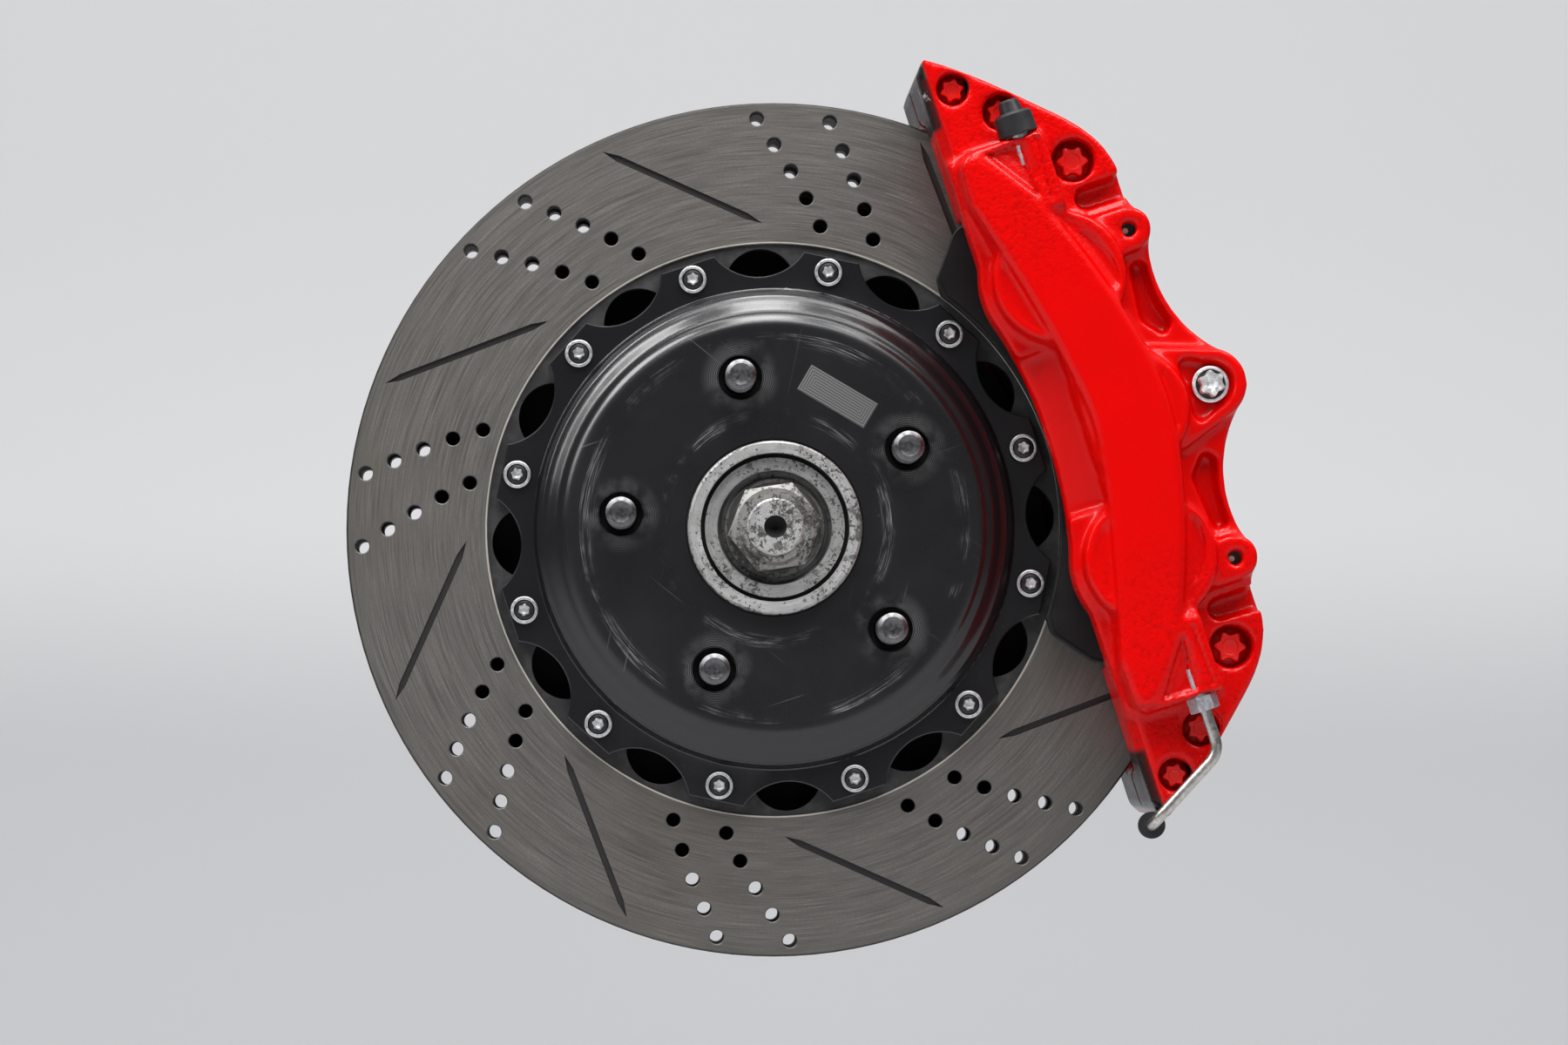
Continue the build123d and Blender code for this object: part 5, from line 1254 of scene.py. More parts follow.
# ---------------------------------------------------------------- geometry node trees
class ArrayTrees:
    """Geometry node trees that set copies of a form on a circle or on given seats, each built once."""

    @staticmethod
    def start(
        name: str, wanted: Sequence[tuple[str, str, float | int | None]]
    ) -> tuple[Graph, bpy.types.Node, bpy.types.Node]:
        """Starts a tree with named inputs and one output of geometry.

        Args:
            name: Name of the tree.
            wanted: Name, socket type and default of each input.

        Returns:
            The graph, its input node and its output node.
        """
        tree = bpy.data.node_groups.new(name, "GeometryNodeTree")
        tree.is_modifier = True
        for key, kind, value in wanted:
            socket = tree.interface.new_socket(key, in_out="INPUT", socket_type=kind)
            if value is not None:
                socket.default_value = value
        tree.interface.new_socket("Geometry", in_out="OUTPUT", socket_type="NodeSocketGeometry")
        graph = Graph(tree)
        return graph, graph.node("NodeGroupInput"), graph.node("NodeGroupOutput")

    @staticmethod
    def set_copies(
        graph: Graph, given: bpy.types.Node, out: bpy.types.Node, inputs: dict[str, bpy.types.NodeSocket]
    ) -> None:
        """Ends a tree: copies the form, makes the copies real and gives them their finish.

        Args:
            graph: Graph of the tree.
            given: Its input node.
            out: Its output node.
            inputs: The copies' points, rotation and scale, by input name.
        """
        form = graph.node(
            "GeometryNodeObjectInfo", {"Object": given.outputs["Form"], "As Instance": True}
        )
        placed = graph.node(
            "GeometryNodeInstanceOnPoints", {"Instance": form.outputs["Geometry"], **inputs}
        )
        real = graph.node("GeometryNodeRealizeInstances", {0: placed.outputs[0]})
        painted = graph.node(
            "GeometryNodeSetMaterial", {"Geometry": real.outputs[0], "Material": given.outputs["Finish"]}
        )
        graph.feed(out.inputs[0], painted.outputs[0])

    @cached_property
    def ring(self) -> bpy.types.NodeTree:
        """Copies on a circle about the axle, each turned by chance about its own axis.

        Returns:
            The tree.
        """
        graph, given, out = self.start(
            "SetOnCircle",
            (
                ("Geometry", "NodeSocketGeometry", None),
                ("Form", "NodeSocketObject", None),
                ("Count", "NodeSocketInt", 12),
                ("Circle Radius", "NodeSocketFloat", 0.1),
                ("First Angle", "NodeSocketFloat", 0.0),
                ("Station", "NodeSocketFloat", 0.0),
                ("Chance Turn", "NodeSocketFloat", 1.0),
                ("Seed", "NodeSocketInt", 7),
                ("Finish", "NodeSocketMaterial", None),
            ),
        )
        index = graph.node("GeometryNodeInputIndex").outputs[0]
        step = graph.math("DIVIDE", 2 * math.pi, given.outputs["Count"])
        angle = graph.math("ADD", given.outputs["First Angle"], graph.times(index, step))
        x = graph.times(graph.math("COSINE", angle), given.outputs["Circle Radius"])
        z = graph.times(graph.math("SINE", angle), given.outputs["Circle Radius"])
        where = graph.node("ShaderNodeCombineXYZ", {0: x, 1: given.outputs["Station"], 2: z})
        points = graph.node(
            "GeometryNodePoints", {"Count": given.outputs["Count"], "Position": where.outputs[0]}
        )
        chance = graph.node("FunctionNodeRandomValue", data_type="FLOAT")
        sockets = {s.identifier: s for s in chance.inputs}
        graph.feed(sockets["Min_001"], 0.0)
        graph.feed(sockets["Max_001"], given.outputs["Chance Turn"])
        graph.feed(sockets["Seed"], given.outputs["Seed"])
        number = next(s for s in chance.outputs if s.identifier == "Value_001")
        spin = graph.node("ShaderNodeCombineXYZ", {1: number})
        self.set_copies(graph, given, out, {"Points": points.outputs[0], "Rotation": spin.outputs[0]})
        return graph.tree

    @cached_property
    def seats(self) -> bpy.types.NodeTree:
        """Copies on a mesh's own points, as wide as its size attribute says and turned as its turn says.

        Returns:
            The tree.
        """
        graph, given, out = self.start(
            "SetOnSeats",
            (
                ("Geometry", "NodeSocketGeometry", None),
                ("Form", "NodeSocketObject", None),
                ("Finish", "NodeSocketMaterial", None),
            ),
        )
        size = graph.node("GeometryNodeInputNamedAttribute", {"Name": "size"}, data_type="FLOAT")
        turn = graph.node("GeometryNodeInputNamedAttribute", {"Name": "turn"}, data_type="FLOAT")
        scale = graph.node("ShaderNodeCombineXYZ", {0: size.outputs[0], 1: 1.0, 2: size.outputs[0]})
        spin = graph.node("ShaderNodeCombineXYZ", {1: turn.outputs[0]})
        self.set_copies(
            graph, given, out,
            {"Points": given.outputs["Geometry"], "Rotation": spin.outputs[0], "Scale": scale.outputs[0]},
        )
        return graph.tree

    @staticmethod
    def run(
        host: bpy.types.Object, tree: bpy.types.NodeTree, values: dict[str, object], form: bpy.types.Object
    ) -> bpy.types.Object:
        """Runs a tree on a host object and keeps the result as its plain mesh.

        Args:
            host: The object that carries the tree.
            tree: The tree.
            values: Input values by name.
            form: The form that is copied, which is removed afterwards.

        Returns:
            The host, with the result as its mesh.
        """
        modifier = host.modifiers.new("copies", "NODES")
        modifier.node_group = tree
        ids = {
            item.name: item.identifier
            for item in tree.interface.items_tree
            if item.item_type == "SOCKET" and item.in_out == "INPUT"
        }
        for name, value in {**values, "Form": form}.items():
            modifier[ids[name]] = value
        Workshop.apply(host)
        bpy.data.objects.remove(form)
        Workshop.smooth(host)
        return host

    def on_circle(
        self,
        form: bpy.types.Object,
        finish: Finish,
        count: int,
        radius: float,
        first: float,
        station: float,
        seed: int,
    ) -> bpy.types.Object:
        """Sets copies of a form on a circle about the axle.

        Args:
            form: The form, which is used up.
            finish: Its finish.
            count: How many.
            radius: The circle's radius.
            first: The first one's angle.
            station: Their place along Y.
            seed: Seed of their chance turn about their own axis.

        Returns:
            One object with all of them.
        """
        name = form.name
        form.name = name + "_form"
        host = Workshop.to_object(name, bmesh.new())
        return self.run(
            host,
            self.ring,
            {
                "Count": count,
                "Circle Radius": radius * MM,
                "First Angle": math.radians(first),
                "Station": station * MM,
                "Chance Turn": FULL_TURN,
                "Seed": seed,
                "Finish": finish.material(),
            },
            form,
        )

    def on_seats(
        self, form: bpy.types.Object, finish: Finish, seats: Sequence[tuple[Vector, float, float]]
    ) -> bpy.types.Object:
        """Sets copies of a form on given seats.

        Args:
            form: The form, which is used up.
            finish: Its finish.
            seats: Place, width's share and turn of each copy.

        Returns:
            One object with all of them.
        """
        name = form.name
        form.name = name + "_form"
        mesh = bmesh.new()
        size = mesh.verts.layers.float.new("size")
        turn = mesh.verts.layers.float.new("turn")
        for place, scale, spin in seats:
            vert = mesh.verts.new(place)
            vert[size] = scale
            vert[turn] = spin
        host = Workshop.to_object(name, mesh)
        return self.run(host, self.seats, {"Finish": finish.material()}, form)


TREES = ArrayTrees()


# ---------------------------------------------------------------- sub-assemblies
@dataclass
class Disc:
    """The drilled and grooved ring."""

    def build(self) -> None:
        """Dresses the ring."""
        Workshop.node("disc_ring", IRON)


@dataclass
class Hat:
    """The hat and the twelve sets of bolt, cupped washer and nut that hold the ring."""

    bolt_circle_r: float = 108.7
    bolt_angle: float = 18.0
    bolt_count: int = 12
    flange_y: float = 13.0
    end_y: float = 35.0
    washer_r: float = 5.95
    washer_t: float = 1.8
    cup_r: float = 4.3
    cup_floor: float = 0.8
    shank_r: float = 3.0
    star_r: float = 2.55
    star_h: float = 2.9
    star: float = 0.16
    neck_r: float = 3.95
    seed: int = 11
    bell_profile: tuple[tuple[float, float], ...] = (
        (81.9, 0.0), (83.2, 0.03), (84.5, 0.2), (85.6, 0.55), (86.6, 1.15), (87.4, 1.72), (88.4, 2.12),
        (89.6, 2.45), (90.6, 2.98), (92.0, 4.02), (93.4, 5.05), (94.6, 5.72), (96.3, 6.5), (97.2, 7.48),
    )
    bell_cuts: int = 30
    bell_slack: float = 0.05

    def slope(self, number: int) -> float:
        """Slope of the bell's profile at one of its places.

        Args:
            number: The place's number.

        Returns:
            How much deeper the bell gets for each millimetre outwards.
        """
        low, high = max(number - 1, 0), min(number + 1, len(self.bell_profile) - 1)
        (r0, y0), (r1, y1) = self.bell_profile[low], self.bell_profile[high]
        return (y1 - y0) / (r1 - r0)

    def bell_depth(self, radius: float) -> float:
        """Depth of the bell's turned beads, on a smooth curve through the profile's places.

        Args:
            radius: Distance from the axle.

        Returns:
            Distance inboard of the hat's face.
        """
        places = self.bell_profile
        last = len(places) - 2
        number = next(i for i in range(last + 1) if radius <= places[i + 1][0] or i == last)
        (r0, y0), (r1, y1) = places[number], places[number + 1]
        span = r1 - r0
        u = min(1.0, max(0.0, (radius - r0) / span))
        start, end = self.slope(number) * span, self.slope(number + 1) * span
        return (
            (2 * u**3 - 3 * u**2 + 1) * y0 + (u**3 - 2 * u**2 + u) * start
            + (3 * u**2 - 2 * u**3) * y1 + (u**3 - u**2) * end
        )

    def bell(self) -> bpy.types.Object:
        """The hat, its shoulder turned with two soft beads.

        Returns:
            The hat's visual.
        """
        obj = Workshop.merged_copy("hat_bell", "rotor_hat")
        mesh = bmesh.new()
        mesh.from_mesh(obj.data)
        first, last = self.bell_profile[0], self.bell_profile[-1]
        for number in range(1, self.bell_cuts):
            cut = last[1] * number / self.bell_cuts * MM
            near = [
                f for f in mesh.faces
                if min(v.co.y for v in f.verts) < cut < max(v.co.y for v in f.verts)
            ]
            shoulder = [f for f in near if all(self.on_bell(v.co) for v in f.verts)]
            edges = {e for f in shoulder for e in f.edges}
            verts = {v for f in shoulder for v in f.verts}
            bmesh.ops.bisect_plane(
                mesh,
                geom=[*shoulder, *edges, *verts],
                plane_co=(0, cut, 0),
                plane_no=(0, 1, 0),
                dist=CUT_SLACK,
            )
        for vert in mesh.verts:
            radius = math.hypot(vert.co.x, vert.co.z) / MM
            if first[0] < radius <= last[0] + self.bell_slack and self.on_bell(vert.co):
                vert.co.y = self.bell_depth(radius) * MM
        mesh.to_mesh(obj.data)
        mesh.free()
        Workshop.smooth(obj, BELL_CREASE)
        Workshop.dress(obj, HAT)
        return obj

    def on_bell(self, place: Vector) -> bool:
        """Whether a place is on the outside of the bell's shoulder.

        Args:
            place: The place, in metres.

        Returns:
            Whether it is.
        """
        radius = math.hypot(place.x, place.z) / MM
        first, last = self.bell_profile[0], self.bell_profile[-1]
        return first[0] - 0.1 < radius < last[0] + 0.1 and place.y / MM < last[1] + self.bell_slack

    def washers(self) -> bpy.types.Object:
        """Cupped washers with a rolled rim.

        Returns:
            One object with all twelve.
        """
        t, r, cup, floor = self.washer_t, self.washer_r, self.cup_r, self.cup_floor
        hole = self.shank_r + 0.2
        rings = [
            Ring(hole, 0.0), Ring(r - 0.3, 0.0), Ring(r, 0.3), Ring(r, t - 0.7), Ring(r - 0.25, t - 0.22),
            Ring(r - 0.7, t), Ring(cup + 0.45, t), Ring(cup + 0.1, t - 0.15), Ring(cup, t - 0.4),
            Ring(cup - 0.1, floor + 0.1), Ring(cup - 0.3, floor), Ring(hole, floor),
        ]
        return self.on_flange(TurnedForm("hat_washers", rings, segments=40, loop=True), self.seed)

    def bolts(self) -> bpy.types.Object:
        """Star-headed bolts, dimpled at the top.

        Returns:
            One object with all twelve.
        """
        floor, top = self.cup_floor, self.cup_floor + self.star_h
        depth = self.flange_y - self.end_y
        rings = [
            Ring(self.shank_r - 0.5, depth), Ring(self.shank_r, depth + 0.5), Ring(self.shank_r, floor),
            Ring(self.neck_r, floor), Ring(self.neck_r, floor + 0.35), Ring(self.neck_r - 0.35, floor + 0.55),
            Ring(self.star_r, floor + 0.6, self.star), Ring(self.star_r, top - 0.3, self.star),
            Ring(self.star_r - 0.25, top, self.star - 0.02), Ring(1.5, top, 0.06), Ring(1.3, top - 0.1),
            Ring(0.4, top - 0.15),
        ]
        return self.on_flange(TurnedForm("hat_bolts", rings, segments=48), self.seed + 1)

    def on_flange(self, form: TurnedForm, seed: int) -> bpy.types.Object:
        """Sets a form on the hat's flange at each of its bolts.

        Args:
            form: The form.
            seed: Seed of the copies' chance turn.

        Returns:
            One object with all twelve.
        """
        return TREES.on_circle(
            form.build(),
            CUPPED,
            self.bolt_count,
            self.bolt_circle_r,
            self.bolt_angle,
            self.flange_y,
            seed,
        )

    def build(self) -> None:
        """Builds the fasteners and dresses the hat."""
        Workshop.hand_over(self.bell(), Body.ROTOR, "hat_black", ("rotor_hat",))
        Workshop.node("rotor_nuts", ZINC)
        Workshop.hand_over(self.washers(), Body.ROTOR, "zinc_steel", ("rotor_washers",))
        Workshop.hand_over(self.bolts(), Body.ROTOR, "zinc_steel", ("rotor_bolts",))


@dataclass
class Hub:
    """Wheel hub with its studs, the stub axle's end and its nut."""

    stud_r: float = 6.35
    stud_reach: float = 17.0
    knurl_r: float = 6.8
    flange_front: float = 8.0
    flange_back: float = 20.0
    head_r: float = 9.5
    head_t: float = 5.0
    thread_depth: float = 0.55
    thread_pitch: float = 1.27
    thread_from: float = 1.0
    thread_rings: int = 62
    seed: int = 3

    def studs(self) -> bpy.types.Object:
        """Threaded studs with a chamfered, slightly dished end.

        Returns:
            One object with all five.
        """
        back = self.flange_back
        rings = [
            Ring(self.head_r - 1.0, -back - self.head_t), Ring(self.head_r, -back - self.head_t + 0.8),
            Ring(self.head_r, -back - 0.6), Ring(self.head_r - 0.4, -back), Ring(self.knurl_r, -back),
            Ring(self.knurl_r, -self.flange_front - 0.4), Ring(self.stud_r, -self.flange_front),
            Ring(self.stud_r, self.thread_from - 0.6),
        ]
        steps = self.thread_rings
        start, end = self.thread_from, self.stud_reach - 1.3
        for number in range(steps + 1):
            along = start + (end - start) * number / steps
            fade = min(1.0, number / 6, (steps - number) / 4 + 0.25)
            rings.append(Ring(self.stud_r, along, thread=self.thread_depth * fade))
        rings += [
            Ring(self.stud_r - 0.9, self.stud_reach - 0.75), Ring(self.stud_r - 1.75, self.stud_reach),
            Ring(self.stud_r - 2.1, self.stud_reach), Ring(self.stud_r - 2.4, self.stud_reach - 0.18),
            Ring(1.2, self.stud_reach - 0.24),
        ]
        form = TurnedForm("wheel_stud_set", rings, segments=40, pitch=self.thread_pitch).build()
        return TREES.on_circle(
            form, STUD, STUDS.count, STUDS.radius, STUDS.angle, station=0.0, seed=self.seed
        )

    def build(self) -> None:
        """Builds the studs and dresses the rest."""
        Workshop.node("wheel_hub", HUB)
        Workshop.node("stub_axle", HUB)
        Workshop.node("axle_nut", NUT)
        Workshop.node("axle_washer", NUT)
        Workshop.hand_over(self.studs(), Body.ROTOR, "stud_steel", ("wheel_studs",))


@dataclass
class Bearing:
    """The double-row wheel bearing between hub and knuckle."""

    def build(self) -> None:
        """Dresses the bearing's pieces."""
        Workshop.node("bearing_inner_race", BEARING)
        Workshop.node("bearing_rollers", BEARING)
        Workshop.node("bearing_cages", BRASS)
        Workshop.node("bearing_outer", RACE)
        Workshop.node("bearing_seals", RUBBER)


@dataclass
class BackPlates:
    """Dust shield and calliper bracket behind the disc, with their fasteners."""

    def build(self) -> None:
        """Dresses the plates and fasteners."""
        Workshop.node("dust_shield", SHIELD)
        Workshop.node("shield_screws", ZINC)
        Workshop.node("caliper_bracket", BRACKET)
        Workshop.node("caliper_mount_bolts", ZINC)
        Workshop.node("caliper_mount_washers", ZINC)


@dataclass
class Calliper:
    """The two painted castings and the bolts through them."""

    voxel: float = 1.25
    settle: float = 0.5
    rounds: int = 13
    face_limit: int = 190000
    bolt_ring_r: float = 191.8
    bolt_places: tuple[tuple[float, float], ...] = ((32.9, 17.6), (43.5, 15.0), (50.0, 13.4))
    seat_depth: float = 29.0
    shank_end: float = -60.5
    shank_r: float = 5.2
    flange_r: float = 7.6
    head_r: float = 6.7
    head_h: float = 7.0
    head_star: float = 0.27
    land_depth: float = 40.0
    centre_at: float = 185.7
    centre_end: float = -119.6
    centre_shank_r: float = 4.0
    centre_head_r: float = 5.55
    centre_head_h: float = 7.75
    centre_star: float = 0.24
    pockets: tuple[tuple[float, tuple[tuple[float, float], ...]], ...] = (
        (2.5, ((125.2, 116.4), (141.4, 116.9), (142.9, 90.5))),
        (1.4, ((146.0, 118.0), (149.7, 117.0), (147.9, 90.0), (145.2, 90.0))),
        (
            1.4,
            (
                (151.9, 77.0), (156.8, 73.3), (160.9, 67.3), (163.5, 60.0), (164.2, 52.6),
                (162.6, 48.0), (161.0, 47.6), (158.1, 56.1), (154.6, 67.2),
            ),
        ),
    )
    pocket_edge: float = 1.4
    front_y: float = -20.0
    front_tilt: float = 0.5
    front_blend: float = 0.3
    wall_t: float = 132.0
    wall_fade: float = 2.0
    wall_tilt: float = 0.82
    wall_blend: float = 0.1

    def press_pockets(self, obj: bpy.types.Object) -> None:
        """Presses the shallow pockets of the mould into the front, on both ends.

        Args:
            obj: The outer casting.
        """
        spots, normals = self.spots(obj), self.normals(obj)
        r, t = PLACE.along(spots), PLACE.across(spots)
        facing = np.clip((-normals[:, 1] - self.front_tilt) / self.front_blend, 0.0, 1.0)
        facing *= spots[:, 1] < self.front_y
        for depth, corners in self.pockets:
            inside = np.full(len(spots), 1e9)
            within = np.zeros(len(spots), dtype=bool)
            for (r0, t0), (r1, t1) in zip(corners, corners[1:] + corners[:1]):
                span = (r1 - r0) ** 2 + (t1 - t0) ** 2
                share = np.clip(((r - r0) * (r1 - r0) + (t - t0) * (t1 - t0)) / span, 0.0, 1.0)
                gap = np.hypot(r - r0 - share * (r1 - r0), t - t0 - share * (t1 - t0))
                inside = np.minimum(inside, gap)
                if t0 != t1:
                    crosses = ((t0 > t) != (t1 > t)) & (r < (r1 - r0) * (t - t0) / (t1 - t0) + r0)
                    within ^= crosses
            share = np.clip(inside / self.pocket_edge, 0.0, 1.0) * within
            spots[:, 1] += depth * facing * share * share * (3.0 - 2.0 * share)
        obj.data.vertices.foreach_set("co", (spots * MM).ravel())
        obj.data.update()

    def mark_walls(self, obj: bpy.types.Object) -> None:
        """Stores how far each point lies on a casting's end walls that face the axle, which the red finish
        colours near-black.

        Args:
            obj: A finished casting.
        """
        t, inwards = PLACE.across(self.spots(obj)), -PLACE.along(self.normals(obj))
        share = np.clip((inwards - self.wall_tilt) / self.wall_blend, 0.0, 1.0)
        share *= np.clip((t - self.wall_t) / self.wall_fade, 0.0, 1.0)
        layer = obj.data.attributes.new(RED.wall_attribute, "FLOAT", "POINT")
        layer.data.foreach_set("value", share.astype(np.float32))

    @staticmethod
    def spots(obj: bpy.types.Object) -> np.ndarray:
        """Places of a mesh's points.

        Args:
            obj: The mesh's object.

        Returns:
            A row for each point, in millimetres.
        """
        flat = np.empty(3 * len(obj.data.vertices))
        obj.data.vertices.foreach_get("co", flat)
        return flat.reshape(-1, 3) / MM

    @staticmethod
    def normals(obj: bpy.types.Object) -> np.ndarray:
        """Normals at a mesh's points.

        Args:
            obj: The mesh's object.

        Returns:
            A row for each point.
        """
        flat = np.empty(3 * len(obj.data.vertices))
        obj.data.vertex_normals.foreach_get("vector", flat)
        return flat.reshape(-1, 3)

    def casting(self, name: str, source: str, pocketed: bool) -> bpy.types.Object:
        """Rounds a casting's edges as the mould and the paint leave them.

        Args:
            name: Name of the piece.
            source: The CAD node that it stands for.
            pocketed: Whether the front has the mould's shallow pockets.

        Returns:
            The rounded casting.
        """
        obj = Workshop.merged_copy(name, source)
        remesh = obj.modifiers.new("skin", "REMESH")
        remesh.mode = "VOXEL"
        remesh.voxel_size = self.voxel * MM
        remesh.adaptivity = 0.0
        settle = obj.modifiers.new("settle", "SMOOTH")
        settle.factor = self.settle
        settle.iterations = self.rounds
        Workshop.apply(obj)
        if pocketed:
            self.press_pockets(obj)
        triangles = 2 * len(obj.data.polygons)
        if triangles > self.face_limit:
            thin = obj.modifiers.new("thin", "DECIMATE")
            thin.ratio = self.face_limit / triangles
            Workshop.apply(obj)
        Workshop.smooth(obj, SOFT_CREASE)
        self.mark_walls(obj)
        Workshop.dress(obj, RED)
        return Workshop.hand_over(obj, Body.FIXED, "caliper_red", (source,))

    def bridge_bolts(self) -> bpy.types.Object:
        """Star-headed bolts that hold the halves together, painted with them.

        Returns:
            One object with all six.
        """
        shank, flange, head = self.shank_r, self.flange_r, self.head_r
        top, star = self.head_h, self.head_star
        rings = [
            Ring(shank - 0.4, self.shank_end), Ring(shank, self.shank_end + 0.6), Ring(shank, 0.0),
            Ring(flange, 0.0), Ring(flange, 1.0), Ring(flange - 0.3, 1.4), Ring(head + 0.2, 1.6),
            Ring(head, 1.9, star), Ring(head, top - 1.0, star), Ring(head - 0.4, top - 0.3, star - 0.01),
            Ring(head - 1.0, top, star - 0.03), Ring(3.4, top), Ring(3.0, top - 0.35), Ring(1.2, top - 0.5),
        ]
        form = TurnedForm("bridge_bolt_set", rings, segments=72).build()
        seats = []
        for number, (angle, well) in enumerate(self.bolt_places):
            for side in (1, -1):
                r_at = self.bolt_ring_r * math.cos(math.radians(angle))
                t_at = self.bolt_ring_r * math.sin(math.radians(angle)) * side
                place = PLACE.at(r_at, t_at, self.seat_depth)
                seats.append((place, well / self.bolt_places[0][1], 0.4 * number + side))
        return TREES.on_seats(form, RED_BOLT, seats)

    def centre_bolt(self) -> bpy.types.Object:
        """The bright flanged bolt through the middle ear.

        Returns:
            The bolt's head and shank.
        """
        shank, flange, head = self.centre_shank_r, self.flange_r, self.centre_head_r
        top, star = self.centre_head_h, self.centre_star
        rings = [
            Ring(shank - 0.5, self.centre_end), Ring(shank, self.centre_end + 0.6), Ring(shank, 0.0),
            Ring(flange - 0.2, 0.0), Ring(flange, 0.25), Ring(flange, 1.7), Ring(flange - 0.15, 2.0),
            Ring(flange - 0.4, 2.15), Ring(6.15, 2.2), Ring(6.0, 1.6), Ring(5.9, 1.4), Ring(head, 1.4, star),
            Ring(head, top - 0.55, star), Ring(head - 0.25, top, star - 0.01), Ring(2.2, top, 0.05),
            Ring(1.9, top - 0.15), Ring(0.7, top - 0.25),
        ]
        form = TurnedForm("centre_bolt", rings, segments=64).build()
        place = PLACE.at(self.centre_at, 0.0, self.land_depth)
        return TREES.on_seats(form, CENTRE, [(place, 1.0, 0.35)])

    def build(self) -> None:
        """Builds the castings and their bolts, and dresses the rest."""
        self.casting("outer_casting", "caliper_outer", True)
        self.casting("inner_casting", "caliper_inner", False)
        Workshop.hand_over(self.bridge_bolts(), Body.FIXED, "red_bolt", ("bridge_bolts",))
        Workshop.hand_over(self.centre_bolt(), Body.FIXED, "zinc_steel", ("center_bridge_bolt",))
        Workshop.node("center_bridge_nut", ZINC)
        Workshop.node("center_bridge_spacer", PLATED)
        Workshop.node("pad_pins", PIN)
        Workshop.node("abutment_plates", STAINLESS)
        Workshop.node("outer_pistons", PISTON)
        Workshop.node("inner_pistons", PISTON)
        Workshop.node("piston_seals", RUBBER)
        Workshop.node("piston_wipers", RUBBER)


@dataclass
class Pads:
    """Both pads: backing plates, friction blocks and shims."""

    def build(self) -> None:
        """Dresses the pads."""
        for side in ("outer", "inner"):
            Workshop.node(side + "_pad_plate", PAD)
            Workshop.node(side + "_pad_friction", LINING)
            Workshop.node(side + "_pad_shim", PAD)


@dataclass
class Hydraulics:
    """Bleeders with their caps, the crossover pipe with its nuts and sleeve, and the inlet."""

    def build(self) -> None:
        """Dresses the fittings."""
        Workshop.node("bleeder_screws", ZINC)
        Workshop.node("bleeder_caps", RUBBER)
        Workshop.node("pipe_nuts", PLATED)
        Workshop.node("crossover_pipe", PIPE)
        Workshop.node("pipe_sleeve", RUBBER)
        Workshop.node("inlet_fitting", ZINC)


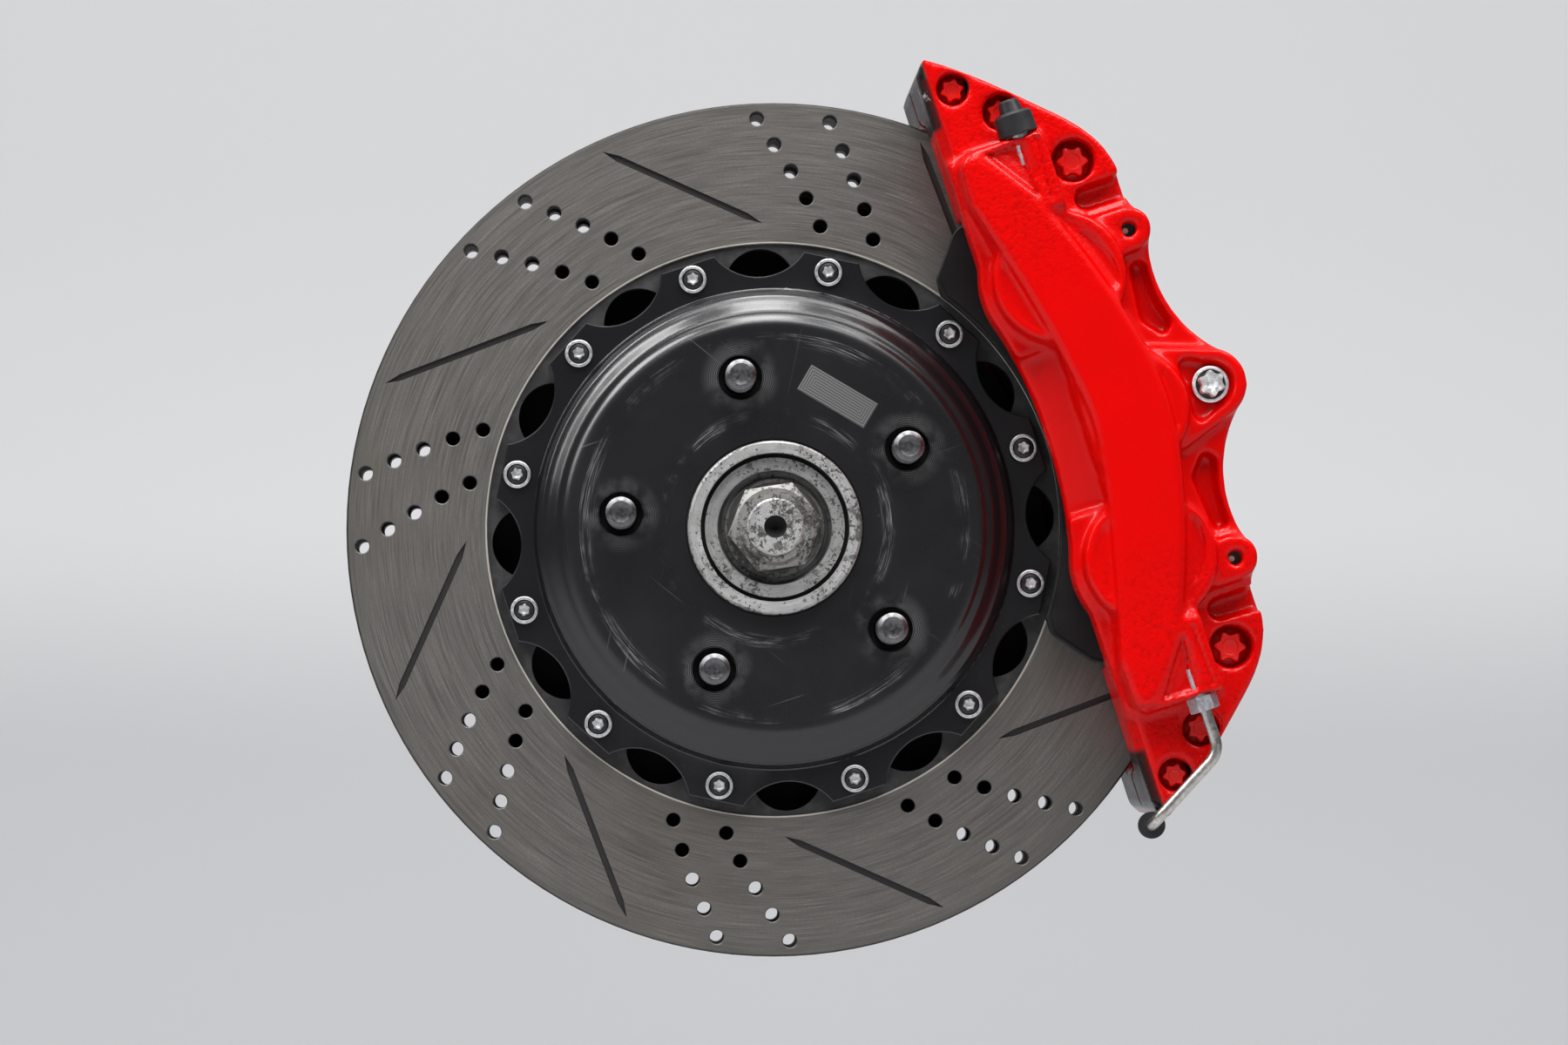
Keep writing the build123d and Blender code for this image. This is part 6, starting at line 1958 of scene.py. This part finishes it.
# ---------------------------------------------------------------- studio
@dataclass
class StudioSet:
    """Floor with a curved backdrop, the lamps and the camera."""

    floor_z: float = -0.42
    half_width: float = 4.0
    front_y: float = -3.5
    back_y: float = 3.0
    bend: float = 0.9
    bend_steps: int = 16
    height: float = 4.0
    sensor: float = 36.0
    lens: float = 109.38
    eye: tuple[float, float, float] = (-0.0582, -1.9615, -0.0875)
    shift: tuple[float, float] = (0.0961, 0.1389)
    sky: Colour = (0.95, 0.97, 1.0)
    surround: Colour = (0.13, 0.132, 0.137)
    below: Colour = (0.045, 0.045, 0.047)
    sky_rise: tuple[float, float] = (0.25, 0.9)
    ground_fall: tuple[float, float] = (-0.6, 0.0)
    lamps: tuple[tuple[str, tuple[float, float, float], tuple[float, float], float], ...] = (
        ("panel_right", (0.80, -0.55, 1.40), (0.45, 0.8), 12.0),
        ("panel_middle", (-0.03, -0.55, 1.60), (0.45, 0.8), 18.0),
        ("panel_left", (-0.90, -0.55, 1.32), (0.45, 0.8), 16.0),
        ("panel_far_left", (-1.40, -0.55, 0.80), (0.22, 0.8), 6.0),
        ("front_fill", (0.3, -1.9, 2.2), (2.4, 0.6), 36.0),
    )

    def backdrop(self) -> None:
        """Builds the floor, which curves up into the backdrop."""
        profile = [(self.front_y, self.floor_z)]
        for number in range(self.bend_steps + 1):
            angle = math.radians(90.0 * number / self.bend_steps)
            profile.append(
                (
                    self.back_y - self.bend + self.bend * math.sin(angle),
                    self.floor_z + self.bend * (1 - math.cos(angle)),
                )
            )
        profile.append((self.back_y, self.floor_z + self.height))
        mesh = bmesh.new()
        rows = [[mesh.verts.new((x, y, z)) for y, z in profile] for x in (-self.half_width, self.half_width)]
        for number in range(len(profile) - 1):
            mesh.faces.new(
                (rows[0][number], rows[1][number], rows[1][number + 1], rows[0][number + 1])
            )
        obj = Workshop.to_object("studio_floor", mesh)
        Workshop.smooth(obj, SOFT_CREASE)
        Workshop.dress(obj, Studio("studio_floor"))

    def light(self) -> None:
        """Sets the lamps and the soft light from all round."""
        for name, place, size, power in self.lamps:
            data = bpy.data.lights.new(name, "AREA")
            data.shape = "RECTANGLE"
            data.size, data.size_y = size
            data.energy = power
            lamp = bpy.data.objects.new(name, data)
            lamp.location = place
            aim = Vector((0.0, 0.0, 0.0)) - Vector(place)
            lamp.rotation_euler = aim.to_track_quat("-Z", "Y").to_euler()
            bpy.context.scene.collection.objects.link(lamp)
        world = bpy.data.worlds.new("soft_surround")
        world.use_nodes = True
        graph = Graph(world.node_tree)
        background = world.node_tree.nodes["Background"]
        _, _, height = graph.parts(graph.place())
        around = graph.mix(graph.remap(height, *self.ground_fall), self.below, self.surround)
        tone = graph.mix(graph.remap(height, *self.sky_rise), around, self.sky)
        graph.feed(background.inputs["Color"], tone)
        background.inputs["Strength"].default_value = 1.0
        bpy.context.scene.world = world

    def camera(self) -> None:
        """Sets the camera low and a little left of the axle, square to the disc."""
        data = bpy.data.cameras.new("camera")
        data.sensor_width = self.sensor
        data.lens = self.lens
        data.shift_x, data.shift_y = self.shift
        data.clip_end = 50.0
        camera = bpy.data.objects.new("camera", data)
        camera.location = self.eye
        camera.rotation_euler = (math.pi / 2, 0.0, 0.0)
        bpy.context.scene.collection.objects.link(camera)
        bpy.context.scene.camera = camera

    def build(self) -> None:
        """Builds the whole set."""
        self.backdrop()
        self.light()
        self.camera()
        bpy.context.scene.view_settings.view_transform = "Standard"


def main() -> None:
    """Builds every sub-assembly around the frame."""
    logging.basicConfig(level=logging.INFO, format="%(message)s")
    assemblies = (
        Disc(), Hat(), Hub(), Bearing(), BackPlates(), Calliper(), Pads(), Hydraulics(), StudioSet(),
    )
    for assembly in assemblies:
        assembly.build()
        LOG.info("built %s", type(assembly).__name__)


if __name__ == "__main__":
    main()
